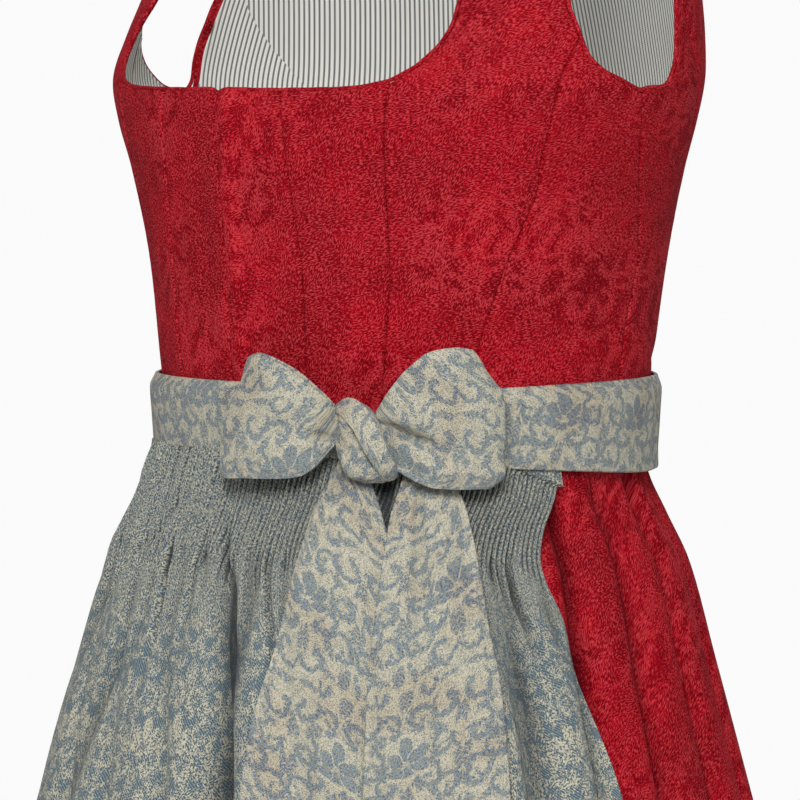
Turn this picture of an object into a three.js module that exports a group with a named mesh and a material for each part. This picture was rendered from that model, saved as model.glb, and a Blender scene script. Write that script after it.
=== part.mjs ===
// A dirndl, worn with no wearer: bodice, lining, gathered skirt, apron, tie band and bow.
// Millimetres. The wearer faces -Y, the wearer's left is +X, +Z is up.
// Inside this file the waist seam is at z = 0; the last lines lower the dress so that the
// origin lies midway between the shoulder seams, where the wearer's shoulders hold it.
import * as THREE from "three";

// ---- driving sizes ----------------------------------------------------------------------
const SHOULDER = { y: 12, z: 370 };
const SKIRT_HEM = -650;
const APRON_HEM = -622;
const THICK = { bodice: 2, lining: 1, skirt: 1.5, apron: 1.4, band: 1.8, tie: 1.8, bow: 1.5 };
const SEAM_GAP = 0.4;
const LAYER_GAP = 0.3;
const SKIRT_FOLDS = 24;
const APRON_RIBS = 140;
const APRON_FOLDS = 12;
const RIB_HEIGHT = 1.1;

const table = (columns, rows) => {
  const names = columns.split(" ");
  return rows.map((row) => Object.fromEntries(names.map((name, i) => [name, row[i]])));
};

// The general figure in level sections: half width a, half depths in front and at the back,
// and the section's middle. Height runs with t; above 338 the sections close over the shoulder.
const FORM = table("t z a front back middle", [
  [-650, -650, 300, 290, 305, 0],
  [-450, -450, 240, 228, 245, 0],
  [-300, -300, 198, 184, 198, 0],
  [-179, -179, 168, 154, 164, 0],
  [-110, -110, 150, 140, 146, 0],
  [-64, -64, 140, 131, 134, 0],
  [-40, -40, 130, 121.5, 123.5, 0],
  [-20, -20, 124, 115, 113.5, 0],
  [0, 0, 121, 112, 110, 0],
  [40, 40, 122, 115, 114, 0],
  [83, 83, 128, 118.5, 120, 0],
  [122, 122, 140, 123, 122, 0],
  [145, 145, 151, 125, 121, 0],
  [165, 165, 159, 122, 119, 0],
  [185, 185, 161, 106, 116, 0],
  [210, 210, 160, 83, 112, 0],
  [250, 250, 157, 62, 101, 3],
  [300, 300, 154, 42, 78, 8],
  [340, 338, 152, 24, 48, 11],
  [365, 359.5, 151, 13, 26, 12],
  [380, 367.5, 150, 7, 14, 12],
  [392, 370, 150, 0, 0, 12],
]);

// Seams and edges: the angle phi, in degrees from the centre front, at each t.
const CENTRE_FRONT = 0.6;
const SEAM_FRONT = table("t phi", [
  [0, 20.4], [60, 20.6], [80, 20.2], [100, 18.8], [120, 17.4], [140, 15.9], [164, 14.4],
]);
const SEAM_MIDDLE = table("t phi", [
  [0, 37.6], [40, 39.2], [66, 40], [84, 39.8], [110, 38.5], [129, 37.2], [151, 35.7], [164, 35.2],
]);
const SEAM_PRINCESS = table("t phi", [
  [0, 56.5], [40, 60.2], [60, 63], [80, 65.8], [100, 68.8], [113, 70.3], [126, 69.6],
  [144, 69.1], [164, 68.3], [176, 68.8], [184, 70],
]);
const SEAM_SIDE = table("t phi", [
  [0, 102.5], [50, 103.2], [80, 105], [100, 102], [128, 95.9], [159, 89.2],
]);
const SEAM_BACK = table("t phi", [
  [0, 152], [40, 147], [80, 138], [120, 126], [163, 114], [190, 105.5], [203, 102.6],
]);
const NECK_MIDDLE = table("phi t", [[14.8, 159.8], [26.5, 160.4], [31, 161.6], [35.2, 164]]);
const NECK_STRAP = table("t phi", [
  [164, 35.2], [170, 38.6], [176, 40.4], [184, 41.8], [193, 41.9], [201, 41], [225, 41],
  [250, 41.5], [300, 40.4], [350, 39.8], [392, 39.3],
]);
const ARM_STRAP = table("t phi", [
  [184, 70], [191, 67.8], [201, 64.6], [225, 64.5], [250, 65.5], [300, 67], [350, 68.5], [392, 69],
]);
const ARM_FRONT = {
  left: table("phi t", [[70, 184], [74, 175.3], [78.3, 168.6], [83.8, 163.5], [87, 160.4], [89.2, 158.8]]),
  right: table("phi t", [[70, 184], [74, 175.3], [78.3, 168.4], [82, 163], [85.4, 161], [89.2, 162.5]]),
};
const ARM_BACK = {
  left: table("t phi", [[158.8, 89.2], [160.5, 95], [163, 98], [174, 100], [190, 100.4], [203, 101]]),
  right: table("t phi", [[162.5, 89.2], [164, 90.2], [170, 92], [180, 94.2], [190, 96], [203, 98.6]]),
};
const ARM_BACK_STRAP = table("t phi", [
  [203, 101.4], [225, 101.8], [250, 104.5], [300, 108.5], [350, 110.5], [392, 111],
]);
// The back panel's rows above the armhole: its outer edge's t, then the neck edge.
const BACK_ROWS = table("outer inner phi", [
  [225, 235, 180], [243, 265, 180], [258, 288, 180], [270, 289, 170], [283, 292, 160],
  [297, 298, 152], [312, 308, 146], [327, 322, 142.5], [350, 345, 140.8], [372, 370, 140.5],
  [391.6, 391.6, 140.7],
]);
const LOW_ROWS = [0, 20, 40, 60, 80, 100, 120, 140];
const UPPER_FRONT_ROWS = [164, 170, 176, 184];
const UPPER_BACK_ROWS = [154, 160, 170, 180, 190, 203];
const STRAP_ROWS = [193, 201, 225, 250, 275, 300, 325, 350, 372, 391.6];

// Layers round the waist, by the distance of their inner side from the bodice or skirt.
const BAND_OUT = 1.4;
const TIE_OUT = 4.9;
const TIE = table("phi top bottom", [
  [-180, 25, -16], [-115, 25, -13], [-43, 25, -8.7], [0, 24.7, -6.5], [41, 23.8, -10],
  [66, 23.2, -13.3], [81, 24, -15], [115, 24.8, -18.5], [180, 25, -16],
]);
const WAISTBAND_TOP = 20;
const TUCK = 2.6;
const BAND_END = { from: 72, to: 74, end: 81, bottom: -22 };

// The apron: how far it springs from the skirt below the tie, its side edge, its folds' depth.
const APRON_TOP = -6;
const RIBS_END = -54;
const APRON_SPRING = table("below out", [
  [-2, 1.4], [2, 1.7], [11, 4.2], [26, 5.6], [50, 6], [90, 5], [290, 4.4], [620, 4.4],
]);
const APRON_EDGE = table("z phi", [
  [-622, 82], [-300, 82], [-179, 80.5], [-140, 79.2], [-92, 74.9], [-59, 70.8], [-42, 73.1],
  [-28, 77.4], [-15, 80], [-6, 81],
]);
const FOLD_DEPTH = table("z apron skirt", [
  [-650, 20, 26], [-450, 16, 20], [-300, 11, 15], [-179, 7, 10], [-110, 4, 7], [-64, 0.8, 4],
  [-20, 0, 1.5], [0, 0, 0],
]);
const APRON_VALLEY = 8;
const SKIRT_VALLEY = 94;
const TAIL_FLAT = { from: 12, to: 64, share: 0.4 };

// The two tails of the bow on the apron: the angles of their edges at each height.
const TAIL_LEFT = table("z a b", [
  [-9, 30, 36], [-20, 27.9, 37.2], [-31, 25.9, 39.2], [-44, 24.9, 41], [-62, 23.7, 42.4],
  [-85, 22, 42.4], [-116, 19.9, 42], [-162, 18.6, 40.6], [-220, 17.8, 38.6], [-300, 17.4, 36],
  [-375, 17.4, 34.4], [-430, 17.4, 33.6],
]);
const TAIL_RIGHT = table("z a b", [
  [-23, 43, 55], [-32, 41.8, 56.3], [-44, 41.1, 57.1], [-62, 40.1, 57.6], [-83, 39.1, 58.4],
  [-110, 38, 59.8], [-160, 37.3, 59.5], [-220, 37.3, 58], [-300, 37.6, 56.2], [-385, 38, 54.8],
  [-450, 38.2, 54.4],
]);
const TAIL_COLUMNS = 5;
const TAIL_END_SLANT = 26;

// The bow: outlines across (r, to the wearer's left), up (u) and outward (n) from the knot.
const BOW_PHI = 36.5;
const BOW_BEND = 220;
const KNOT = table("u left right back front", [
  [-18.8, 2, 9, 15.5, 20], [-16.5, -3, 13, 13, 23.5], [-10, -11, 16.2, 11.1, 26.5],
  [0, -16.2, 16.4, 7.3, 28], [9, -16.4, 15.2, 7.9, 27], [15.5, -15.4, 9, 8.8, 23.5], [18.5, -9, 2, 10.8, 19],
]);
const LOOP_PATH = table("g n", [
  [0, 17], [0.06, 18.4], [0.16, 21], [0.34, 23.6], [0.56, 24.4], [0.76, 23], [0.9, 20.6],
  [0.975, 18], [1, 15.6], [0.975, 13.4], [0.9, 11.8], [0.7, 10.6], [0.45, 10], [0.2, 9.7], [0, 9.6],
]);
const LOOPS = {
  right: {
    side: -1,
    height: table("g top bottom", [
      [0, 17.5, -6], [0.15, 23, -11], [0.3, 29, -16.2], [0.5, 34.5, -17.5], [0.78, 39, -17.8],
      [1, 37.4, -17.6],
    ]),
    reach: table("w r", [[0, 70.5], [0.25, 71.5], [0.5, 71], [0.75, 67], [0.9, 62], [1, 57.5]]),
  },
  left: {
    side: 1,
    height: table("g top bottom", [
      [0, 15.5, -13], [0.08, 30, -15], [0.2, 38, -18], [0.5, 43, -20.6], [0.8, 43.2, -21.4],
      [1, 42.4, -21.4],
    ]),
    reach: table("w r", [[0, 56], [0.08, 60], [0.2, 62.2], [0.46, 63.5], [0.73, 59.3], [1, 48.5]]),
  },
};
const LOOP_START = 16.75;
const LOOP_ROWS = [0, 0.12, 0.3, 0.5, 0.7, 0.88, 1];

// ---- small maths ------------------------------------------------------------------------
const rad = THREE.MathUtils.degToRad;
const mix = THREE.MathUtils.lerp;
const ease = THREE.MathUtils.smoothstep;
const steps = (count) => Array.from({ length: count + 1 }, (_, i) => i / count);

// A smooth value between the rows of a table, through every row.
function curve(rows, key, column, x) {
  const sign = rows[0][key] < rows[rows.length - 1][key] ? 1 : -1;
  const at = (i) => sign * rows[i][key];
  const value = THREE.MathUtils.clamp(sign * x, at(0), at(rows.length - 1));
  let i = 0;
  while (i < rows.length - 2 && value > at(i + 1)) i += 1;
  const slope = (k) => {
    const low = Math.max(k - 1, 0);
    const high = Math.min(k + 1, rows.length - 1);
    return (rows[high][column] - rows[low][column]) / (at(high) - at(low));
  };
  const h = at(i + 1) - at(i);
  const u = (value - at(i)) / h;
  const [u2, u3] = [u * u, u * u * u];
  return (2 * u3 - 3 * u2 + 1) * rows[i][column] + (u3 - 2 * u2 + u) * h * slope(i)
    + (3 * u2 - 2 * u3) * rows[i + 1][column] + (u3 - u2) * h * slope(i + 1);
}

// ---- the form ---------------------------------------------------------------------------
const SHOULDER_SLOPE = { from: 95, share: 0.26, start: 240 };

function formPoint(phi, t) {
  const a = curve(FORM, "t", "a", t);
  const depth = curve(FORM, "t", Math.cos(rad(phi)) > 0 ? "front" : "back", t);
  const x = a * Math.sin(rad(phi));
  const slope = SHOULDER_SLOPE.share * ease(t, SHOULDER_SLOPE.start, 392);
  const z = curve(FORM, "t", "z", t) - slope * (Math.abs(x) - SHOULDER_SLOPE.from);
  return new THREE.Vector3(x, curve(FORM, "t", "middle", t) - depth * Math.cos(rad(phi)), z);
}

// The form's outward normal; it turns upright towards the shoulder seam, where both halves meet.
function formNormal(phi, t) {
  const d = 0.05;
  const low = Math.min(t, 391) - d;
  const across = formPoint(phi + d, low).sub(formPoint(phi - d, low));
  const up = formPoint(phi, low + d).sub(formPoint(phi, low - d));
  const normal = across.cross(up).normalize();
  normal.y *= 1 - ease(t, 360, 391);
  return normal.normalize();
}

const offForm = (phi, t, out) => formPoint(phi, t).addScaledVector(formNormal(phi, t), out);

// Bands and skirts are moved out level, so that a hem stays at its height.
function offLevel(phi, z, out) {
  const normal = formNormal(phi, z).setZ(0).normalize();
  return formPoint(phi, z).addScaledVector(normal, out);
}

// ---- closed cloth walls -----------------------------------------------------------------
// A wall between two sheets of rows of points. Rows may differ in their number of points,
// and the two sheets in their number of rows: the narrow strips between them take that up.
class Cloth {
  constructor() {
    this.ids = new Map();
    this.xyz = [];
    this.faces = [];
  }

  id(point) {
    if (!this.ids.has(point)) {
      this.ids.set(point, this.xyz.length / 3);
      this.xyz.push(point.x, point.y, point.z);
    }
    return this.ids.get(point);
  }

  face(a, b, c) {
    const ids = [this.id(a), this.id(b), this.id(c)];
    if (new Set(ids).size === 3) this.faces.push(...ids);
  }

  strip(rowA, rowB, flip = false) {
    const face = (a, b, c) => (flip ? this.face(a, c, b) : this.face(a, b, c));
    let [i, j] = [0, 0];
    const [endA, endB] = [rowA.length - 1, rowB.length - 1];
    while (i < endA || j < endB) {
      const stepA = i < endA ? (i + 1) / endA : Infinity;
      const stepB = j < endB ? (j + 1) / endB : Infinity;
      if (stepA <= stepB) {
        face(rowA[i], rowA[i + 1], rowB[j]);
        i += 1;
      } else {
        face(rowA[i], rowB[j + 1], rowB[j]);
        j += 1;
      }
    }
  }

  sheet(rows, flip = false) {
    for (let i = 0; i + 1 < rows.length; i += 1) this.strip(rows[i], rows[i + 1], flip);
  }

  geometry() {
    const at = (i) => new THREE.Vector3(...this.xyz.slice(3 * i, 3 * i + 3));
    let volume = 0;
    for (let i = 0; i < this.faces.length; i += 3) {
      const [a, b, c] = [at(this.faces[i]), at(this.faces[i + 1]), at(this.faces[i + 2])];
      volume += a.dot(b.cross(c));
    }
    const index = [...this.faces];
    if (volume < 0) {
      for (let i = 0; i < index.length; i += 3) [index[i], index[i + 1]] = [index[i + 1], index[i]];
    }
    const geometry = new THREE.BufferGeometry();
    geometry.setAttribute("position", new THREE.Float32BufferAttribute(this.xyz, 3));
    geometry.setIndex(index);
    geometry.computeVertexNormals();
    return geometry;
  }
}

function wall(outer, inner) {
  const cloth = new Cloth();
  const first = (rows) => rows.map((row) => row[0]);
  const last = (rows) => rows.map((row) => row[row.length - 1]);
  cloth.sheet(outer);
  cloth.sheet(inner, true);
  cloth.strip(inner[0], outer[0]);
  cloth.strip(outer[outer.length - 1], inner[inner.length - 1]);
  cloth.strip(first(outer), first(inner));
  cloth.strip(last(inner), last(outer));
  return cloth.geometry();
}

// Rings of points, closed at both ends by a flat fan, or joined end to end.
function rod(rings, joined = false) {
  const cloth = new Cloth();
  const closed = rings.map((ring) => [...ring, ring[0]]);
  cloth.sheet(joined ? [...closed, closed[0]] : closed);
  if (!joined) {
    [rings[0], [...rings[rings.length - 1]].reverse()].forEach((ring) => {
      for (let i = 1; i + 1 < ring.length; i += 1) cloth.face(ring[0], ring[i + 1], ring[i]);
    });
  }
  return cloth.geometry();
}

// ---- materials and the dress ------------------------------------------------------------
const material = (color, roughness) => new THREE.MeshStandardMaterial({ color, roughness, metalness: 0 });
const RED = material(0xbe142d, 0.8);
const LINING = material(0xb9b7b0, 0.85);
const APRON = material(0x8199a8, 0.7);
const TIE_CLOTH = material(0xc3bda8, 0.65);
const dress = new THREE.Group();

function add(name, geometry, cloth) {
  const mesh = new THREE.Mesh(geometry, cloth);
  mesh.name = name;
  dress.add(mesh);
}

// ---- bodice -----------------------------------------------------------------------------
// Each panel is given for the wearer's left by rows of (phi, t) pairs; the right is mirrored.
const SIDES = [["left", 1], ["right", -1]];

function panelWall(rows, side, out, thick, relief = () => 0) {
  const move = (distance) => rows.map((row) => row.map(({ phi, t }) =>
    offForm(side * phi, t, distance + (distance === out ? relief(phi, t) : 0))));
  return wall(move(out), move(out - thick));
}

// Keeps half the seam gap from an edge at angle phi.
const shiftEdge = (phi, t, distance) => phi + THREE.MathUtils.radToDeg(distance / curve(FORM, "t", "a", t));

// Rows between two edges, each edge's points being given row by row.
function between(left, right, columns) {
  return left.map((a, i) => {
    const b = right[i];
    const start = shiftEdge(a.phi, a.t, SEAM_GAP / 2);
    const end = shiftEdge(b.phi, b.t, -SEAM_GAP / 2);
    return columns.map((u) => ({ phi: mix(start, end, u), t: mix(a.t, b.t, u) }));
  });
}

// Rows from the waist up to an edge that is a table of t by phi.
function upTo(edge, leftSeam, rightSeam, columns, upperRows) {
  const low = LOW_ROWS.map((t) => ({ t, phi: 0 }));
  const seamRow = (seam) => low.map(({ t }) => ({ t, phi: seam(t) }));
  const rows = between(seamRow(leftSeam), seamRow(rightSeam), columns);
  const top = LOW_ROWS[LOW_ROWS.length - 1];
  const [nearest, farthest] = [edge[0].phi, edge[edge.length - 1].phi];
  upperRows.forEach((share) => {
    rows.push(columns.map((u) => {
      const edgeT = curve(edge, "phi", "t", mix(nearest, farthest, u));
      const t = mix(top, edgeT, share);
      const start = shiftEdge(leftSeam(t), t, SEAM_GAP / 2);
      const end = shiftEdge(rightSeam(t), t, -SEAM_GAP / 2);
      return { phi: mix(start, end, u), t };
    }));
  });
  return rows;
}

const seamAngle = (seam) => (t) => curve(seam, "t", "phi", t);
const upperShare = (t) => (t - 140) / (184 - 140);

// The closure's edge on the left front stands proud, over a plain inside.
const CLOSURE = { from: 20, width: 4.4, proud: 0.9, notch: 4.5, notchWidth: 2.2 };
const FRONT_COLUMNS = [0, 0.1, 0.22, 0.29, 0.62, 1];
const closureRelief = (phi, t) => CLOSURE.proud * (1 - ease(phi, CLOSURE.width, CLOSURE.width + 0.9))
  * ease(t, CLOSURE.from, CLOSURE.from + 10);

function frontRows(side) {
  const start = side * CENTRE_FRONT;
  const edge = table("phi t", [
    [start, 160.1 - CLOSURE.notch], [start + CLOSURE.notchWidth / 2, 158.6],
    [start + CLOSURE.notchWidth, 160.1], [9, 159.8], [14.6, 159.8],
  ]);
  return upTo(edge, () => start, seamAngle(SEAM_FRONT), FRONT_COLUMNS, [1]);
}

const middleRows = () => upTo(NECK_MIDDLE, seamAngle(SEAM_FRONT), seamAngle(SEAM_MIDDLE), steps(4), [1]);

function bustRows() {
  const rows = [...LOW_ROWS, ...UPPER_FRONT_ROWS, ...STRAP_ROWS];
  const left = rows.map((t) => ({ t, phi: curve(t < 164 ? SEAM_MIDDLE : NECK_STRAP, "t", "phi", t) }));
  const right = rows.map((t) => ({ t, phi: curve(t < 184 ? SEAM_PRINCESS : ARM_STRAP, "t", "phi", t) }));
  return between(left, right, steps(5));
}

function sideFrontRows(name) {
  const shares = UPPER_FRONT_ROWS.map(upperShare);
  return upTo(ARM_FRONT[name], seamAngle(SEAM_PRINCESS), seamAngle(SEAM_SIDE), steps(6), shares);
}

function sideBackRows(name) {
  const seam = LOW_ROWS.map((t) => ({ t, phi: curve(SEAM_SIDE, "t", "phi", t) }));
  const backT = [...LOW_ROWS, ...UPPER_BACK_ROWS];
  const right = backT.map((t) => ({ t, phi: curve(SEAM_BACK, "t", "phi", t) }));
  return between([...seam, ...ARM_BACK[name]], right, steps(4));
}

function backRows() {
  const low = [...LOW_ROWS, ...UPPER_BACK_ROWS];
  const outer = [
    ...low.map((t) => ({ t, phi: curve(SEAM_BACK, "t", "phi", t) })),
    ...BACK_ROWS.map(({ outer: t }) => ({ t, phi: curve(ARM_BACK_STRAP, "t", "phi", t) })),
  ];
  const inner = [...low.map((t) => ({ t, phi: 180 })), ...BACK_ROWS.map(({ inner: t, phi }) => ({ t, phi }))];
  return between(outer, inner, steps(4));
}

SIDES.forEach(([name, side]) => {
  const relief = side > 0 ? closureRelief : () => 0;
  const panels = [
    ["front_centre", frontRows(side), relief],
    ["front_middle", middleRows()],
    ["front_bust", bustRows()],
    ["side_front", sideFrontRows(name)],
    ["side_back", sideBackRows(name)],
    ["back", backRows()],
  ];
  panels.forEach(([panel, rows, raised]) => add(`${panel}_${name}`, panelWall(rows, side, 0, THICK.bodice, raised), RED));
});

// The lining stops short of the armhole and strap edges, where the red cloth is turned in. It is
// made from the panels' own points, moved in; the edge points then slide along their rows.
const FACING = 4;
const LINING_OUT = -THICK.bodice - LAYER_GAP;

function slide(point, towards) {
  return point.clone().lerp(towards, Math.min(FACING / point.distanceTo(towards), 0.9));
}

function liningWall(rows, side, freeStart, freeEnd) {
  const sheet = (out) => rows.map((row, i) => {
    const points = row.map(({ phi, t }) => offForm(side * phi, t, out));
    const last = points.length - 1;
    if (i >= freeStart) points[0] = slide(points[0], points[1]);
    if (i >= freeEnd) points[last] = slide(points[last], points[last - 1]);
    return points;
  });
  return wall(sheet(LINING_OUT), sheet(LINING_OUT - THICK.lining));
}

SIDES.forEach(([name, side]) => {
  const back = backRows();
  const strapStart = back.length - 6;
  const armholeStart = back.length - BACK_ROWS.length;
  const sideRows = sideBackRows(name);
  add(`lining_side_${name}`, liningWall(sideRows, side, LOW_ROWS.length + 1, sideRows.length), LINING);
  add(`lining_back_${name}`, liningWall(back, side, armholeStart, strapStart), LINING);
});

// ---- piping -----------------------------------------------------------------------------
const PIPING = 1;

// A thin cord of cloth along the edge of the panels: it sits in line with the wall, just off it.
// Hand is 1 where the opening lies to the left of the way the edge is followed, else -1.
function piping(edge, side, hand, joined) {
  const points = edge.map(({ phi, t }) => offForm(side * phi, t, -THICK.bodice / 2));
  const count = points.length;
  const rings = points.map((at, i) => {
    const before = points[joined ? (i + count - 1) % count : Math.max(i - 1, 0)];
    const after = points[joined ? (i + 1) % count : Math.min(i + 1, count - 1)];
    const along = after.clone().sub(before).normalize();
    const normal = formNormal(side * edge[i].phi, edge[i].t);
    const away = normal.clone().cross(along).multiplyScalar(hand * side).normalize();
    const across = along.clone().cross(away);
    const middle = at.clone().addScaledVector(away, PIPING + LAYER_GAP);
    return steps(5).slice(0, 5).map((turn) => middle.clone()
      .addScaledVector(away, PIPING * Math.cos(2 * Math.PI * turn))
      .addScaledVector(across, PIPING * Math.sin(2 * Math.PI * turn)));
  });
  return rod(rings, joined);
}

const firstOf = (rows, from) => rows.slice(from).map((row) => row[0]);
const lastOf = (rows, from) => rows.slice(from).map((row) => row[row.length - 1]);

SIDES.forEach(([name, side]) => {
  const [bust, back, front] = [bustRows(), backRows(), frontRows(side)];
  const [middle, sideFront, sideBack] = [middleRows(), sideFrontRows(name), sideBackRows(name)];
  const backLow = back.length - BACK_ROWS.length;
  const neck = [
    ...front[front.length - 1].slice(1),
    ...middle[middle.length - 1].slice(1),
    ...firstOf(bust, LOW_ROWS.length + 1),
    ...lastOf(back, backLow + 2).reverse().slice(1),
  ];
  const arm = [
    ...lastOf(bust, LOW_ROWS.length + UPPER_FRONT_ROWS.length),
    ...firstOf(back, backLow).reverse().slice(1),
    ...firstOf(sideBack, LOW_ROWS.length + 1).reverse(),
    ...[...sideFront[sideFront.length - 1]].reverse(),
  ];
  add(`neck_piping_${name}`, piping(neck, side, 1, false), RED);
  add(`armhole_piping_${name}`, piping(arm, side, -1, true), RED);
});

// ---- skirt ------------------------------------------------------------------------------
// Folds fall inward from the form on the skirt and outward on the apron, so the two stay clear.
const wave = (degrees, spacing) => 0.5 + 0.5 * Math.cos((2 * Math.PI * degrees) / spacing);
const SKIRT_SPACING = 360 / SKIRT_FOLDS;
const SKIRT_ROWS = [-0.3, -20, -48, -90, -150, -230, -340, -490, SKIRT_HEM];
const SKIRT_GORES = ["front_left", "side_left", "back_left", "back_right", "side_right", "front_right"];

function skirtPoint(phi, z, out) {
  const uneven = 0.78 + 0.22 * Math.sin(7 * rad(phi) + 1);
  const depth = curve(FOLD_DEPTH, "z", "skirt", z) * uneven;
  const fold = depth * wave(phi - SKIRT_VALLEY, SKIRT_SPACING);
  return offLevel(phi, z, out - fold);
}

SKIRT_GORES.forEach((name, i) => {
  const span = 360 / SKIRT_GORES.length;
  const start = i * span + SEAM_GAP * 0.16;
  const end = (i + 1) * span - SEAM_GAP * 0.16;
  const columns = steps((4 * SKIRT_FOLDS) / SKIRT_GORES.length).map((u) => mix(start, end, u));
  const sheet = (out) => SKIRT_ROWS.map((z) => columns.map((phi) => skirtPoint(phi, z, out)));
  add(`skirt_${name}`, wall(sheet(0), sheet(-THICK.skirt)), RED);
});

// ---- apron ------------------------------------------------------------------------------
// Narrow cartridge pleats stand out as ribs under the band, over a plain inside; below them the
// cloth opens into soft folds.
const around = (phi) => ((phi + 540) % 360) - 180;
const tieTop = (phi) => curve(TIE, "phi", "top", around(phi));
const tieBottom = (phi) => curve(TIE, "phi", "bottom", around(phi));
// The waistband ends a little above the tie's lower edge, and its end tab shows below it.
function waistbandBottom(phi) {
  const share = THREE.MathUtils.clamp((phi - BAND_END.from) / (BAND_END.to - BAND_END.from), 0, 1);
  return mix(tieBottom(Math.min(phi, BAND_END.from)) + TUCK, BAND_END.bottom, share);
}

function apronFold(phi, z) {
  const drift = 8 * (1 - Math.abs(phi) / 90) * ease(-z, 60, 180);
  const share = mix(1, TAIL_FLAT.share, ease(phi, TAIL_FLAT.from - 6, TAIL_FLAT.from + 6)
    * (1 - ease(phi, TAIL_FLAT.to - 6, TAIL_FLAT.to + 6)));
  const spacing = 160 / APRON_FOLDS;
  return curve(FOLD_DEPTH, "z", "apron", z) * share * (1 - wave(phi - APRON_VALLEY - drift, spacing));
}

const apronRest = (phi, z) => curve(APRON_SPRING, "below", "out", tieBottom(phi) - z) + apronFold(phi, z);
const apronPoint = (phi, z, out) => offLevel(phi, z, apronRest(phi, z) + out);
const apronEdge = (z) => curve(APRON_EDGE, "z", "phi", z);

function apronRow(z, count, out, ribHeight = 0) {
  return steps(count).map((u, i) => {
    const phi = mix(-apronEdge(z), apronEdge(z), u);
    const height = z === APRON_TOP ? Math.min(waistbandBottom(phi), waistbandBottom(phi + 0.7)) - 0.8 : z;
    return apronPoint(phi, height, out + (i % 2 === 1 ? ribHeight : 0));
  });
}

const FOLD_COLUMNS = 4 * APRON_FOLDS;
const APRON_SOFT_ROWS = [-72, -115, -179, -270, -390, APRON_HEM];
const apronOuter = [
  ...[APRON_TOP, -30, RIBS_END].map((z) => apronRow(z, 2 * APRON_RIBS, THICK.apron, RIB_HEIGHT)),
  ...APRON_SOFT_ROWS.map((z) => apronRow(z, FOLD_COLUMNS, THICK.apron)),
];
const apronInner = [APRON_TOP, -30, RIBS_END, ...APRON_SOFT_ROWS].map((z) => apronRow(z, FOLD_COLUMNS, 0));
add("apron", wall(apronOuter, apronInner), APRON);

// ---- waistband and tie ------------------------------------------------------------------
function bandWall(phis, top, bottom, out, thick, rows = 2) {
  const level = (share, distance) => phis.map((phi) => offLevel(phi, mix(bottom(phi), top(phi), share), distance));
  const sheet = (distance) => steps(rows).map((share) => level(share, distance));
  return wall(sheet(out + thick), sheet(out));
}

const spread = (from, to, count) => steps(count).map((u) => mix(from, to, u));
const waistbandPhis = [...spread(-BAND_END.end, BAND_END.from, 28), BAND_END.to, 77.5, BAND_END.end];
add("apron_waistband", bandWall(waistbandPhis, () => WAISTBAND_TOP, waistbandBottom, BAND_OUT, THICK.band), TIE_CLOTH);
// The ties start at the waistband's ends, cross behind and come back to the front in a second layer.
const underBottom = (phi) => tieBottom(phi) + 7;
add("tie_under", bandWall(spread(81.2, 278.8, 30), () => WAISTBAND_TOP, underBottom, BAND_OUT, THICK.band), TIE_CLOTH);
const TIE_NODES = table("name from to", [
  ["tie_left", BOW_PHI, 110], ["tie_back", 110, 250], ["tie_right", 250, 360 + BOW_PHI],
]);
TIE_NODES.forEach(({ name, from, to }) => {
  const phis = spread(from + 0.08, to - 0.08, Math.round((to - from) / 6));
  add(name, bandWall(phis, tieTop, tieBottom, TIE_OUT, THICK.tie), TIE_CLOTH);
});

// ---- bow --------------------------------------------------------------------------------
const bowCentre = formPoint(BOW_PHI, 0);
const bowOut = formNormal(BOW_PHI, 0).setZ(0).normalize();
const bowAcross = new THREE.Vector3(0, 0, 1).cross(bowOut).normalize();

function bowPoint(r, u, n) {
  return bowCentre.clone()
    .addScaledVector(bowAcross, r)
    .addScaledVector(bowOut, n - (r * r) / (2 * BOW_BEND))
    .setZ(u);
}

// The inner side of a sheet of points, moved in square to the sheet.
function inside(rows, thick) {
  return rows.map((row, i) => row.map((point, j) => {
    const across = row[Math.min(j + 1, row.length - 1)].clone().sub(row[Math.max(j - 1, 0)]);
    const up = rows[Math.min(i + 1, rows.length - 1)][j].clone().sub(rows[Math.max(i - 1, 0)][j]);
    return point.clone().addScaledVector(across.cross(up).normalize(), -thick);
  }));
}

// A loop runs out from the knot on its front, folds over at its reach and comes back behind.
function loopRows({ side, height, reach }) {
  return LOOP_ROWS.map((w) => LOOP_PATH.map(({ g, n }, i) => {
    const r = mix(LOOP_START, curve(reach, "w", "r", w), g);
    const [low, high] = [curve(height, "g", "bottom", g), curve(height, "g", "top", g)];
    const back = i > LOOP_PATH.length / 2 ? 1 : 0;
    const narrow = 1.5 * back * (1 - g);
    const swell = back ? 0 : 2.5 * Math.sin(Math.PI * w) * Math.sin(Math.PI * g);
    return bowPoint(side * r, mix(low + narrow, high - narrow, w), n + swell);
  }));
}

Object.entries(LOOPS).forEach(([name, loop]) => {
  const rows = loopRows(loop);
  const sheet = loop.side > 0 ? rows : rows.map((row) => [...row].reverse());
  add(`bow_loop_${name}`, wall(sheet, inside(sheet, THICK.bow)), TIE_CLOTH);
});

const KNOT_SIDES = 14;
const knotRings = KNOT.map(({ u, left, right, back, front }) => steps(KNOT_SIDES).slice(0, KNOT_SIDES).map((turn) => {
  const angle = 2 * Math.PI * turn;
  const square = (value) => Math.sign(value) * Math.abs(value) ** 0.75;
  const [r, n] = [(left + right) / 2, (front + back) / 2];
  return bowPoint(r + ((right - left) / 2) * square(Math.cos(angle)), u, n + ((front - back) / 2) * square(Math.sin(angle)));
}));
add("bow_knot", rod(knotRings), TIE_CLOTH);

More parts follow.
